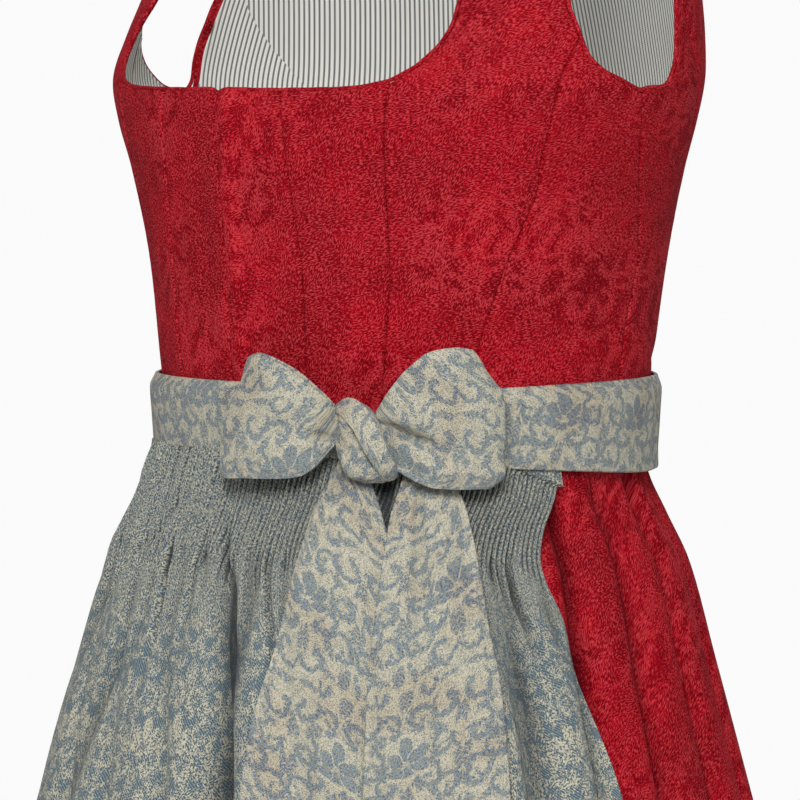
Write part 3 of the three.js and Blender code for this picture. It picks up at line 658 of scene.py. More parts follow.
ARM_FRONT = {
    "left": [(70, 184), (74, 175.3), (78.3, 168.6), (83.8, 163.5), (87, 160.4), (89.2, 158.8)],
    "right": [(70, 184), (74, 174.8), (78.3, 166.8), (82, 160.6), (85.4, 157.4), (89.2, 156.6)],
}
ARM_BACK = {
    "left": [(158.8, 89.2), (160.5, 95), (163, 98), (174, 100), (190, 100.4), (203, 101)],
    "right": [(156.6, 89.2), (158.4, 91.4), (165, 93.2), (178, 95.2), (190, 98), (203, 101)],
}
ARM_BACK_STRAP = [(203, 101.4), (225, 101.8), (250, 104.5), (300, 108.5), (350, 110.5), (392, 111)]
BACK_ROWS = [  # outer edge's t, neck edge's t and phi
    (225, 235, 180), (243, 265, 180), (258, 288, 180), (270, 289, 170), (283, 292, 160), (297, 298, 152),
    (312, 308, 146), (327, 322, 142.5), (350, 345, 140.8), (372, 370, 140.5), (391.6, 391.6, 140.7),
]
LOW_ROWS = [0, 20, 40, 60, 80, 100, 120, 140]
UPPER_BACK_ROWS = [152, 158, 168, 180, 190, 203]
UPPER_START = 140
SEAM_GAP = 0.2
SIDES = {"left": 1, "right": -1}


# %% Shares that crowd towards the edges
EDGE_STEPS = np.array([0, 0.35, 0.8, 1.4, 2.2, 3.2])


def shares(length, pitch=2.4):
    """Places from 0 to 1 along a length, close together at both ends."""
    near = EDGE_STEPS / length
    inside = np.linspace(near[-1], 1 - near[-1], max(int(length * (1 - 2 * near[-1]) / pitch), 2) + 1)
    return np.concatenate([near[:-1], inside, (1 - near[:-1])[::-1]])


def inset(phi, t, distance):
    """An edge's angle, moved by a distance along its level."""
    return phi + np.degrees(distance / curve(FORM, t, 2))


def up_to(edge, left, right, columns, slit=0):
    """Angle and height for a panel from the waist to an edge that is a table of t by phi."""
    low = np.linspace(0, UPPER_START, 60)[:-1, None]
    high = 1 - np.concatenate([np.linspace(1, 0.17, 8), EDGE_STEPS[4::-1] / 20])[:, None]
    target = curve(edge, blend(edge[0][0], edge[-1][0], columns[None]))
    t = np.concatenate([np.repeat(low, len(columns), 1), blend(UPPER_START, target, high)])
    start = inset(left(t), t, SEAM_GAP / 2 + slit * np.exp(-(((t - 126) / 3.2) ** 2)))
    return blend(start, inset(right(t), t, -SEAM_GAP / 2), columns[None]), t


def between(left, right, columns, pitch=2.4):
    """Angle and height for a panel between two edges, each a list of (phi, t) row by row."""
    rows = shares(400 if left[-1][1] > 250 else 200, pitch) * (len(left) - 1)
    index = np.arange(len(left))
    (start, t0), (end, t1) = [
        [curve(np.column_stack([index, np.array(edge)[:, k]]), rows) for k in (0, 1)]
        for edge in (left, right)]
    start, end = inset(start, t0, SEAM_GAP / 2), inset(end, t1, -SEAM_GAP / 2)
    return blend(start[:, None], end[:, None], columns[None]), blend(t0[:, None], t1[:, None], columns[None])


def grain(phi, t, reference):
    """Cloth coordinates for a panel whose straight grain runs up at the reference angle."""
    steps = (np.arange(16) + 0.5) / 16
    middle = np.radians(reference + (phi - reference)[..., None] * steps)
    wide, front, behind = [curve(FORM, t, k)[..., None] for k in (2, 3, 4)]
    deep = np.where(np.cos(middle) > 0, front, behind)
    pace = np.hypot(wide * np.cos(middle), deep * np.sin(middle)).mean(-1)
    return np.stack([pace * np.radians(phi - reference), run(form_point(phi, t), 0) + t[:1]], -1)


# %% The six panels of a side
def seam(rows):
    return lambda t: curve(rows, t)


def front_panel(side, name):
    start = side * CENTRE_FRONT
    edge = [(start, 157.8), (start + 0.7, 159.2), (start + 1.4, 160.1), (9, 159.8), (14.6, 159.8)]
    columns = np.unique(np.concatenate([shares(44, 1.6), np.linspace(0.07, 0.16, 8)]))
    return up_to(edge, lambda t: start + 0 * t, seam(SEAM_FRONT), columns, slit=0.5 if side < 0 else 0)


def middle_panel(side, name):
    return up_to(NECK_MIDDLE, seam(SEAM_FRONT), seam(SEAM_MIDDLE), shares(44))


def bust_panel(side, name):
    t = shares(400, 2.6) * 391.6
    left = np.where(t < 164, curve(SEAM_MIDDLE, t), curve(NECK_STRAP, t))
    right = np.where(t < 184, curve(SEAM_PRINCESS, t), curve(ARM_STRAP, t))
    columns = shares(60)
    phi = blend(inset(left, t, SEAM_GAP / 2)[:, None], inset(right, t, -SEAM_GAP / 2)[:, None], columns[None])
    return phi, np.repeat(t[:, None], len(columns), 1)


def side_front_panel(side, name):
    return up_to(ARM_FRONT[name], seam(SEAM_PRINCESS), seam(SEAM_SIDE), shares(70))


def side_back_panel(side, name):
    left = [(curve(SEAM_SIDE, t), t) for t in LOW_ROWS] + [(phi, t) for t, phi in ARM_BACK[name]]
    right = [(curve(SEAM_BACK, t), t) for t in LOW_ROWS + UPPER_BACK_ROWS]
    return between(left, right, shares(60))


def back_panel(side, name):
    low = LOW_ROWS + UPPER_BACK_ROWS
    left = [(curve(SEAM_BACK, t), t) for t in low]
    left += [(curve(ARM_BACK_STRAP, row[0]), row[0]) for row in BACK_ROWS]
    right = [(180, t) for t in low] + [(row[2], row[1]) for row in BACK_ROWS]
    return between(left, right, shares(120, 3.0), 3.0)


PANELS = {"front_centre": front_panel, "front_middle": middle_panel, "front_bust": bust_panel,
          "side_front": side_front_panel, "side_back": side_back_panel, "back": back_panel}

# %% Creases, seams and the front closure
BODICE_CREASES = [  # from phi, t; to phi, t; half width; depth
    (-7, 14, -4.5, 150, 6.5, 1.1), (-15.5, 20, -17, 78, 5, 0.6), (27, 26, 46, 38, 4, 0.6),
    (62, 30, 84, 22, 4.5, 0.8), (72, 148, 84, 118, 4, 0.7), (92, 70, 101, 30, 5, 0.9),
    (-62, 26, -88, 34, 4.5, 0.8),
    (-74, 146, -85, 120, 4, 0.7), (118, 42, 142, 26, 5, 1.0), (150, 60, 172, 30, 6, 1.1),
    (-116, 36, -140, 28, 5, 0.9), (-148, 66, -174, 40, 6, 1.0), (128, 180, 150, 205, 8, 0.8),
    (-126, 176, -152, 210, 8, 0.9),
]
CLOSURE = {"width": 4.4, "proud": 1.0}


def troughs(x, y, rows):
    """Soft troughs along lines: each is from x, y to x, y, with its half width and depth."""
    depth = np.zeros(np.broadcast(x, y).shape)
    for x0, y0, x1, y1, wide, deep in rows:
        dx, dy = x1 - x0, y1 - y0
        along = np.clip(((x - x0) * dx + (y - y0) * dy) / (dx * dx + dy * dy), 0, 1)
        away = np.hypot(x - x0 - along * dx, y - y0 - along * dy)
        depth += deep * np.exp(-((away / wide) ** 2)) * (0.35 + 0.65 * np.sin(np.pi * along))
    return depth


ARC = 2.3  # millimetres for each degree round the bodice
ARC_CREASES = [(a * ARC, t0, b * ARC, t1, wide, deep) for a, t0, b, t1, wide, deep in BODICE_CREASES]


def panel_shape(name, side, phi, t):
    """How far each point of a panel lies off the form."""
    left, right, _, high = borders(form_point(side * phi, t))
    near = np.minimum(left, right)
    out = -troughs(side * phi * ARC, t, ARC_CREASES)
    for edge in (left, right):
        out -= 1.25 * np.exp(-((edge / 0.6) ** 2)) + 0.2 * np.exp(-((edge / 2.4) ** 2))
    out -= 0.55 * np.exp(-((high / 0.85) ** 2)) + 0.35 * np.exp(-(((high - 2.6) / 0.6) ** 2))
    pull = np.sin(t * 0.93 + 3 * np.sin(t * 0.17)) * np.exp(-near / 4.5)
    out += 0.13 * pull * ease(near, 0.6, 2)
    if name == "front_centre" and side > 0:
        out += CLOSURE["proud"] * (1 - ease(phi, CLOSURE["width"], CLOSURE["width"] + 1.1)) * ease(t, 20, 30)
        out += 0.8 * np.exp(-(((phi - 3.1) / 1.3) ** 2)) * ease(t, 10, 30) * (0.8 + 0.2 * np.sin(t * 0.09))
    return out


# %% Sew the panels
BODICE_THICK = 2.0
GRAIN = {"front_centre": 12, "front_middle": 30, "front_bust": 52, "side_front": 84, "side_back": 112,
         "back": 180}
panels = {}
for number, (panel, make) in enumerate(PANELS.items()):
    for name, side in SIDES.items():
        phi, t = make(side, name)
        out = panel_shape(panel, side, phi, t)
        outer = off_form(side * phi, t, out)
        inner = off_form(side * phi, t, np.minimum(out, 0) * 0.4 - BODICE_THICK)
        finishes = [RED] if "back" in panel else [RED, LINING]
        cloth = grain(side * phi, t, side * GRAIN[panel])
        piece = wall(f"{panel}_{name}_cloth", outer, inner, finishes, cloth, (number * 37, side * 23))
        wear(piece, [f"{panel}_{name}"], outer)
        panels[panel, name] = (phi, t, outer)

# %% [markdown]
# ## Lining and piping
# Where the neck and armholes let the back show, the pinstripe lining covers the panels' inner side.
# It stops a few millimetres short of each open edge, where the red cloth is turned in. Thin red
# piping, a cord of folded cloth, finishes the neck and armholes.

# %% Lining
LINING_OUT, LINING_THICK, FACING = -2.3, 1.0, 4.0
LEAN = {"side_back": 0.36, "back": 0.1}
for panel, free_left, free_right in (("side_back", 152, 999), ("back", 214, 290)):
    for name, side in SIDES.items():
        phi, t, _ = panels[panel, name]
        width = curve(FORM, t, 2)
        share = np.linspace(0, 1, phi.shape[1])[None]
        push_left = FACING * ease(t[:, :1], free_left - 4, free_left + 6) * (1 - ease(share, 0, 0.25))
        push_right = FACING * ease(t[:, -1:], free_right, free_right + 9) * ease(share, 0.75, 1)
        moved = phi + np.degrees((push_left - push_right) / width)
        toward_seam = share if panel == "side_back" else 1 - share
        moved = moved + 5.5 * ease(t, 110, 165) * (1 - ease(t, 203, 230)) * toward_seam
        ripple = 0.12 * np.sin(t * 0.11 + phi * 0.2)
        outer = off_form(side * moved, t, LINING_OUT - ripple * 0.5 - 0.06)
        inner = off_form(side * moved, t, LINING_OUT - LINING_THICK - ripple - 0.06)
        cloth = grain(side * moved, t, side * GRAIN[panel])
        cloth[..., 0] -= side * LEAN[panel] * t
        piece = wall(f"lining_{panel.split('_')[0]}_{name}_cloth", outer, inner, [LINING], cloth)
        wear(piece, [f"lining_{panel.split('_')[0]}_{name}"], inner)

# %% Piping
PIPING = 1.0
SHOULDER, JUMP = 388, 0.6  # above this t, a point this many degrees off both straps lies over the gap


def tube(name, path, radius, sides, finish, closed=False):
    """A round cord along a path of points, which may be closed."""
    tangent = np.roll(path, -1, 0) - np.roll(path, 1, 0) if closed else np.gradient(path, axis=0)
    tangent = unit(tangent)
    up = unit(np.cross(tangent, np.cross(np.array([0.1, 0.2, 1.0]), tangent) + 1e-6))
    turn = np.linspace(0, 2 * np.pi, sides, endpoint=False)[None, :, None]
    radius = np.broadcast_to(radius, len(path))[:, None, None]
    aside = np.cross(tangent, up)
    rings = path[:, None] + radius * (np.cos(turn) * up[:, None] + np.sin(turn) * aside[:, None])
    ids = np.arange(rings.shape[0] * sides).reshape(-1, sides)
    ids = np.concatenate([ids, ids[:, :1]], 1)
    faces = quads(np.concatenate([ids, ids[:1]]) if closed else ids)
    points = rings.reshape(-1, 3)
    cloth = np.zeros((len(points), 3))
    cloth[:, 0] = np.tile(np.arange(sides) * 0.8, len(path))
    cloth[:, 1] = np.repeat(run(path[None], 1)[0], sides)
    if not closed:
        caps = [points.reshape(-1, sides, 3)[k].mean(0) for k in (0, -1)]
        points = np.concatenate([points, caps])
        cloth = np.concatenate([cloth, cloth[[0, -1]]])
        first, last = len(points) - 2, len(points) - 1
        ends = [[first, ids[0, k + 1], ids[0, k]] for k in range(sides)]
        ends += [[last, ids[-1, k], ids[-1, k + 1]] for k in range(sides)]
        faces = [list(f) for f in faces] + ends
        faces = np.array(faces, dtype=object)
    return make_mesh(name, points, faces, cloth, [finish])


def edge_line(side, *pieces):
    """Joined stretches of an edge, evenly spaced, with no point between front and back at the shoulder."""
    phi = np.concatenate([p for p, _ in pieces])
    t = np.concatenate([q for _, q in pieces])
    length = run(form_point(side * phi, t)[None], 1)[0]
    keep = np.concatenate([[True], np.diff(length) > 1e-6])
    even = np.linspace(0, length[-1], int(length[-1] / 2.0))
    even_phi, even_t = [np.interp(even, length[keep], values[keep]) for values in (phi, t)]
    over = (even_t > SHOULDER) & (np.abs(phi[:, None] - even_phi).min(0) > JUMP)
    return even_phi[~over], even_t[~over]


def soften(values, rounds, closed):
    for _ in range(rounds):
        wide = np.pad(values, 1, mode="wrap" if closed else "edge")
        inner = (wide[:-2] + 2 * wide[1:-1] + wide[2:]) / 4
        values = inner if closed else np.concatenate([values[:1], inner[1:-1], values[-1:]])
    return values


def pipe(name, node, side, hand, closed, *pieces):
    phi, t = edge_line(side, *pieces)
    if closed:
        phi, t = phi[:-1], t[:-1]
    path = off_form(side * phi, t, -BODICE_THICK / 2)
    path = np.stack([soften(path[:, k], 2, closed) for k in range(3)], -1)
    along = np.roll(path, -1, 0) - np.roll(path, 1, 0) if closed else np.gradient(path, axis=0)
    away = unit(np.cross(form_normal(side * phi, t), unit(along))) * hand * side
    radius = PIPING * (1 + 0.06 * np.sin(np.arange(len(path)) * 0.9))
    piece = tube(name, path + away * (PIPING * 0.75), radius, 10, RED, closed)
    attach(piece, "root")
    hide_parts(node)


for name, side in SIDES.items():
    grid = {panel: panels[panel, name][:2] for panel in PANELS}
    above = {"front_bust": grid["front_bust"][1][:, 0], "side_back": grid["side_back"][1][:, 0]}
    neck_side = above["front_bust"] > 166
    back_neck = grid["back"][0][:, -1] < 179.7
    neck = [tuple(g[-1, 1:] for g in grid["front_centre"]), tuple(g[-1] for g in grid["front_middle"]),
            tuple(g[neck_side, 0] for g in grid["front_bust"]),
            tuple(g[back_neck, -1][::-1] for g in grid["back"])]
    pipe(f"neck_piping_{name}_cloth", f"neck_piping_{name}", side, 1, False, *neck)
    strap = grid["front_bust"][1][:, -1] > 184
    back_strap = grid["back"][1][:, 0] > 205
    side_edge = above["side_back"] > 160
    arm = [tuple(g[strap, -1] for g in grid["front_bust"]),
           tuple(g[back_strap, 0][::-1] for g in grid["back"]),
           tuple(g[side_edge, 0][::-1] for g in grid["side_back"]),
           tuple(g[-1, ::-1] for g in grid["side_front"])]
    pipe(f"armhole_piping_{name}_cloth", f"armhole_piping_{name}", side, -1, True, *arm)

# %% [markdown]
# ## The skirt
# Six gores hang from the waist in twenty-four folds that deepen towards the hem. Gathers at the waist
# are finer and die away in a hand's breadth. A cloth simulation would settle such folds, but it can't
# place them; here sums of waves do, each fold a little different from the next. All folds fall
# inward from the form, so the skirt never meets the apron.

# %% Folds
SKIRT_FOLDS, SKIRT_VALLEY, SKIRT_HEM = 24, 94, -650
FOLD_DEPTH = [  # z, apron, skirt
    (-650, 20, 26), (-450, 16, 20), (-300, 11, 15), (-179, 7, 10), (-110, 4, 7), (-64, 0.8, 4), (-20, 0, 1.5),
    (0, 0, 0),
]
SKIRT_GORES = ["front_left", "side_left", "back_left", "back_right", "side_right", "front_right"]


def wave(degrees, spacing):
    return 0.5 + 0.5 * np.cos(2 * np.pi * degrees / spacing)


def pinch(phi, valley, spacing, share):
    """Angles drawn towards the nearest valley, which closes it to a slit."""
    return phi - share * spacing / (2 * np.pi) * np.sin(2 * np.pi * (phi - valley) / spacing)


def skirt_valley(phi, z):
    return SKIRT_VALLEY + 1.3 * np.sin(5 * np.radians(phi) + 0.6) * ease(-z, 60, 420)


def skirt_fold(phi, z):
    return wave(phi - skirt_valley(phi, z), 360 / SKIRT_FOLDS) ** 1.7


def skirt_out(phi, z):
    angle = np.radians(phi)
    uneven = 0.78 + 0.22 * np.sin(7 * angle + 1)
    fold = skirt_fold(phi, z)
    low = 2.2 * wave(phi + 2.2 * np.sin(3 * angle), 360 / (2 * SKIRT_FOLDS)) * ease(-z, 120, 320)
    gather = wave(phi + 1.3 * np.sin(9 * angle), 360 / 72) ** 2 * ease(-z, 0, 14) * (1 - ease(-z, 40, 130))
    tilt = np.sin(6.5 * angle + 2) ** 4
    near = ease(-z, 8, 40) * (1 - ease(-z, 180, 420))
    return -curve(FOLD_DEPTH, z, 2) * uneven * fold - 6.5 * fold * near - low * uneven - 1.3 * gather * tilt


# %% Sew the gores
SKIRT_THICK, GORE_COLUMNS, GORE_SPAN = 1.5, 88, 60
skirt_z = np.concatenate([np.linspace(-0.3, -60, 18), np.linspace(-66, SKIRT_HEM + 3, 78),
                          SKIRT_HEM + EDGE_STEPS[3::-1]])[:, None]
for number, gore in enumerate(SKIRT_GORES):
    start = number * GORE_SPAN
    phi = np.linspace(start + 0.03, start + GORE_SPAN - 0.03, GORE_COLUMNS)[None]
    hem = 0.5 * (1 - ease(skirt_z, SKIRT_HEM + 34, SKIRT_HEM + 36))
    out = skirt_out(phi, skirt_z) + hem
    drawn = pinch(phi, skirt_valley(phi, skirt_z), 360 / SKIRT_FOLDS, 0.62 * ease(-skirt_z, 10, 60))
    outer, inner = off_level(drawn, skirt_z, out), off_level(drawn, skirt_z, out - hem - SKIRT_THICK)
    # painted shade for the skirt: how deep each point lies in a fold, none at the waist
    fold_shade_depth = 0.75 * (skirt_fold(phi, skirt_z) ** 1.5 * ease(-skirt_z, 6, 50))[::-1]
    piece = wall(f"skirt_{gore}_cloth", outer[::-1], inner[::-1], [RED], shift=(number * 29, number * 41),
                 fold_shade_depth=fold_shade_depth)
    width = round(run(outer, 1)[-1, -1] * MM, 3)
    wear(piece, [f"skirt_{gore}"], outer, flat=(width, 0.65))

# %% [markdown]
# ## The apron
# The apron is drawn up below its band in a hundred and forty cartridge pleats, each barely wider than
# two millimetres. A hand below the band they let go, in uneven groups, and the cloth opens into soft
# folds. Each pleat is real geometry with its own length; the loosened pleats leave short creases.

# %% Where the apron lies
APRON_HEM, APRON_RIBS, APRON_FOLDS, APRON_VALLEY = -622, 140, 12, 8
APRON_THICK, RIB_HEIGHT, APRON_CUT = 1.4, 1.3, 980
TIE = [  # phi, top, bottom
    (-180, 25, -16), (-115, 25, -13), (-43, 25, -8.7), (0, 24.7, -6.5), (41, 23.8, -10), (66, 23.2, -13.3),
    (81, 24, -15), (115, 24.8, -18.5), (180, 25, -16),
]
APRON_SPRING = [  # below the tie, out from the skirt
    (-2, 1.4), (2, 1.7), (11, 4.2), (26, 5.6), (50, 6), (90, 5), (290, 4.4), (620, 4.4)]
APRON_EDGE = [  # z, phi
    (-622, 82), (-300, 82), (-179, 80.5), (-140, 79.2), (-92, 74.9), (-59, 70.8), (-42, 73.1), (-28, 77.4),
    (-15, 80), (-6, 81),
]
BAND_TAB = {"from": 64, "end": 81, "bottom": -22}
TUCK = 2.6


def around(phi):
    return (phi + 540) % 360 - 180


def tie_top(phi):
    return curve(TIE, around(phi), 1)


def tie_bottom(phi):
    return curve(TIE, around(phi), 2)


def waistband_bottom(phi):
    share = np.clip((phi - BAND_TAB["from"]) / (BAND_TAB["end"] - BAND_TAB["from"]), 0, 1)
    return blend(tie_bottom(np.minimum(phi, BAND_TAB["from"])) + TUCK, BAND_TAB["bottom"], share)


def apron_valley(phi, z):
    return APRON_VALLEY + 8 * (1 - np.abs(phi) / 90) * ease(-z, 60, 180)


def apron_rest(phi, z):
    """How far off the skirt the apron lies, as it folds."""
    share = blend(1, 0.4, ease(phi, 18, 24) * (1 - ease(phi, 58, 66)))
    valley = wave(phi - apron_valley(phi, z), 160 / APRON_FOLDS) ** 1.8
    fuller = 2.4 * ease(-z, 80, 170)
    fuller = fuller + 2.8 * ease(-z, 30, 62) * (1 - ease(-z, 220, 420)) * (1 - ease(phi, 58, 70))
    spring = curve(APRON_SPRING, tie_bottom(phi) - z)
    return spring + (curve(FOLD_DEPTH, z, 1) + fuller) * share * (1 - valley)


# %% Pleats, loosened pleats and soft folds
APRON_ARC = 2.45  # millimetres for each degree round the apron
APRON_CREASES = [  # from phi, z; to phi, z; half width; depth
    (5.2, -40, 9.4, -74, 2.2, 5.0), (9.2, -66, 12.4, -116, 6.0, 10), (12.2, -100, 14.6, -250, 9.0, 9.0),
    (1.4, -44, 3.4, -68, 1.7, 3.4), (-1.4, -62, -3.2, -88, 2.0, 5.0), (16.3, -46, 15, -88, 2.4, 2.4),
    (20.4, -50, 20, -66, 1.6, 3.0), (-12, -30, -20, -78, 2.2, 3.6), (-25, -52, -28, -96, 2.4, 5.0),
    (-34, -56, -38, -110, 3.0, 4.6), (-48, -50, -52, -84, 1.8, 3.0), (-60, -58, -62, -120, 2.4, 3.6),
    (65.2, -80, 67, -190, 5.0, 6.0), (70.4, -66, 71.6, -96, 2.0, 4.6), (62.6, -58, 63.4, -78, 1.6, 3.6),
    (64.7, -56, 64.6, -84, 1.9, 3.6), (75, -70, 77, -170, 3.6, 3.4), (34, -54, 33, -90, 2.0, 3.0),
    (47, -54, 48, -96, 2.0, 3.0), (28, -58, 26, -130, 2.6, 3.0), (-71, -50, -74, -100, 2.2, 3.0),
    (-20, -100, -23, -260, 5.0, 4.6), (-46, -110, -50, -280, 5.0, 4.6), (56, -110, 57, -260, 5.0, 4.6),
    (39.6, -12, 40.4, -46, 4.6, 8.0),
]
APRON_LINES = [(a * APRON_ARC, z0, b * APRON_ARC, z1, wide, deep)
               for a, z0, b, z1, wide, deep in APRON_CREASES]


def apron_out(phi, z, pleat):
    """The apron's outer side off the skirt for each counted pleat, and its painted shade: how deep it lies in
    a rib's valley, a gather or a crease.
    """
    count = np.floor(pleat)
    length = 53 + 6 * np.sin(count * 0.83) + 4 * np.sin(count * 2.31 + 1)
    strong = 0.8 + 0.25 * np.sin(count * 0.31) + 0.2 * np.sin(count * 1.7)
    rib = (np.abs(np.sin(np.pi * pleat)) ** 0.55 * 3.4 - 1.5 * ease(-z, 18, 30)) * strong
    held = 1 - ease(-z, length, length + 12)
    drawn = pleat + 1.6 * np.sin(pleat * 0.29 + 0.4) + 0.8 * np.sin(pleat * 0.71)
    group = wave(drawn, 5.2) ** 2.6 * (0.6 + 0.4 * np.sin(pleat * 0.53))
    depth = 4.2 * ease(-z, 44, 62) * (1 - ease(-z, 74, 150 + 30 * np.sin(drawn * 0.5)))
    small = wave(drawn + 0.6, 2.6) ** 2 * 1.7 * ease(-z, 48, 60) * (1 - ease(-z, 64, 96))
    ripple = 0.8 * np.sin(phi * 0.8 + z * 0.011) * ease(-z, 120, 260)
    crease = troughs(phi * APRON_ARC, z, APRON_LINES)
    out = apron_rest(phi, z) + APRON_THICK + rib * held - depth * group - small - crease + ripple
    # painted shade: deepest in the ribs' valleys, and more in gathers and creases
    fold_shade_depth = (1 - np.abs(np.sin(np.pi * pleat))) ** 1.5 * held + (depth * group + small) * 0.11 + crease * 0.1
    return np.maximum(out, APRON_THICK + 0.35), fold_shade_depth


apron_z = np.concatenate([np.linspace(0, -44, 9), np.linspace(-47, -96, 17), np.linspace(-104, -180, 11),
                          np.linspace(-200, APRON_HEM, 26)])[:, None]
pleat = np.linspace(0, APRON_RIBS, 5 * APRON_RIBS + 1)[None]
edge = curve(APRON_EDGE, np.minimum(apron_z, -6))
phi = blend(-edge, edge, pleat / APRON_RIBS)
top = waistband_bottom(phi[0]) - 0.5
z = np.minimum(apron_z, top[None])
out, fold_shade_depth = apron_out(phi, z, pleat)
drawn = pinch(phi, apron_valley(phi, z), 160 / APRON_FOLDS, 0.75 * ease(-z, 60, 110))
outer, inner = off_level(drawn, z, out)[::-1], off_level(drawn, z, out - APRON_THICK)[::-1]
across = (pleat / APRON_RIBS - 0.5) * APRON_CUT
cloth = np.stack([np.broadcast_to(across, outer.shape[:2]), run(outer, 0)], -1)
piece = wall("apron_cloth", outer, inner, [APRON_CLOTH], cloth=cloth, fold_shade_depth=fold_shade_depth[::-1])
wear(piece, ["apron"], outer, flat=(0.98, 0.62))

# %% [markdown]
# ## Waistband and tie
# The apron's waistband shows only as a tab below the tie. The tie is a folded strip that runs twice
# round the waist: once under, once over, and back to the bow. Its edges are folds, so the band is
# crowned and leans in to the bodice at its top. Wide, faint ripples keep it from looking like a belt.

# %% Bands round the waist
BOW_PHI = 36.5
BAND_OUT, TIE_OUT, BAND_THICK, WAISTBAND_TOP = 1.4, 3.5, 1.8, 20


def band(name, nodes, phi, top, bottom, out, crown, lean, finish):
    """A level band; lean is how far its top edge comes in to the bodice."""
    share = shares(40, 2.2)[:, None]
    squeezed = 12.5 * np.exp(-((around(phi - BOW_PHI + 2) / 8.5) ** 4))
    z = blend(bottom(phi)[None], top(phi)[None] - squeezed, share)
    ripple = 0.35 * np.sin(phi[None] * 0.21 + share * 3) + 0.2 * np.sin(phi[None] * 0.53 - share * 5)
    body = out + crown * np.sin(np.pi * share) ** 0.6 - lean * ease(share, 0.78, 1) ** 2
    body = body + ripple * np.sin(np.pi * share)
    outer, inner = off_level(phi[None], z, body + BAND_THICK), off_level(phi[None], z, body)
    piece = wall(name, outer, inner, [finish], shift=(0, 12))
    wear(piece, nodes, outer)
    return outer


waistband = band("apron_waistband_cloth", ["apron_waistband"], np.linspace(-81, 81, 150),
                 lambda phi: WAISTBAND_TOP + 0 * phi, waistband_bottom, BAND_OUT, 0.1, 0, APRON_CLOTH)
band("tie_under_cloth", ["tie_under"], np.linspace(81.2, 278.8, 110), lambda phi: WAISTBAND_TOP + 0 * phi,
     lambda phi: tie_bottom(phi) + 7, BAND_OUT, 0.1, 0, TIE_CLOTH)
band("tie_cloth", ["tie_left", "tie_back", "tie_right"], np.linspace(BOW_PHI + 0.1, BOW_PHI + 359.9, 320),
     tie_top, tie_bottom, TIE_OUT, 1.3, 2.2, TIE_CLOTH)

# %% [markdown]
# ## The bow
# A bow has two loops, a knot that wraps them, and two tails. Each loop is one strip: it runs out from
# the knot in front, folds at its reach and comes back behind. Creases run out from the knot, where
# the strip is squeezed. The knot is built of two lobes: a rounded one, and a strap that crosses it.

# %% Bow coordinates
BOW_BEND = 220
bow_centre = form_point(np.array(BOW_PHI), np.array(0.0))
bow_out = unit(form_normal(np.array(BOW_PHI), np.array(0.0)) * np.array([1, 1, 0]))
bow_across = unit(np.cross(np.array([0, 0, 1.0]), bow_out))


def bow_point(r, u, n):
    """A place on the bow: r across to the wearer's left, u up and n out from the form."""
    r, u, n = np.broadcast_arrays(r, u, n)
    points = bow_centre + r[..., None] * bow_across + (n - r * r / (2 * BOW_BEND))[..., None] * bow_out
    points[..., 2] = u
    return points


# %% Loops
LOOP_PATH = [  # g, n
    (0, 17), (0.06, 18.4), (0.16, 21), (0.34, 23.6), (0.56, 24.4), (0.76, 23), (0.9, 20.6), (0.975, 18),
    (1, 15.6), (0.975, 13.4), (0.9, 11.8), (0.7, 10.6), (0.45, 10), (0.2, 9.7), (0, 9.6),
]
LOOPS = {
    "right": {
        "side": -1, "start": 12,
        "top": [(0, 13), (0.088, 17), (0.176, 21), (0.286, 25.2), (0.48, 31.9), (0.718, 37.2), (0.837, 39),
                (0.914, 39.4), (1, 37.6)],
        "bottom": [(0, -0.5), (0.035, -1), (0.104, -5.5), (0.208, -12.2), (0.312, -16), (0.485, -17.5),
                   (0.832, -17.8), (1, -18.5)],
        "reach": [(0, 69.7), (0.1, 71.6), (0.35, 71.2), (0.52, 69.7), (0.65, 66.5), (0.79, 61.5), (0.93, 59),
                  (1, 57.4)],
        "creases": [(14, 0.5, 30, 3.6, 1.9, 3.6), (13, 5, 58, 5, 8, 2.8), (15, 12, 36, 27, 3.2, 1.4),
                    (22, -6, 42, -10, 3, 1.1), (50, 12, 60, 30, 4.5, 1.2), (44, -8, 66, -12, 4, 0.8)],
    },
    "left": {
        "side": 1, "start": 4,
        "top": [(0, 13), (0.124, 21.3), (0.3, 30.9), (0.427, 36), (0.562, 40.5), (0.787, 42.9), (1, 42)],
        "bottom": [(0, -8), (0.21, -13.2), (0.385, -18), (0.558, -21), (1, -21.6)],
        "reach": [(0, 56), (0.085, 62.3), (0.22, 62), (0.445, 63), (0.65, 62), (0.715, 60.6), (0.835, 54.9),
                  (0.95, 50.8), (1, 48.3)],
        "creases": [(6, 8, 18, 4.8, 1.7, 4.4), (15, 5.6, 33, -1.8, 2.5, 8.6), (33, -1.8, 50, -5, 5, 1.8),
                    (10, 16, 30, 34, 3.6, 1.5), (16, -8, 30, -16, 2.4, 1.6), (42, 14, 52, 34, 5, 1.1),
                    (20, 12, 44, 12, 5, -1.3)],
    },
}
BOW_THICK = 1.5


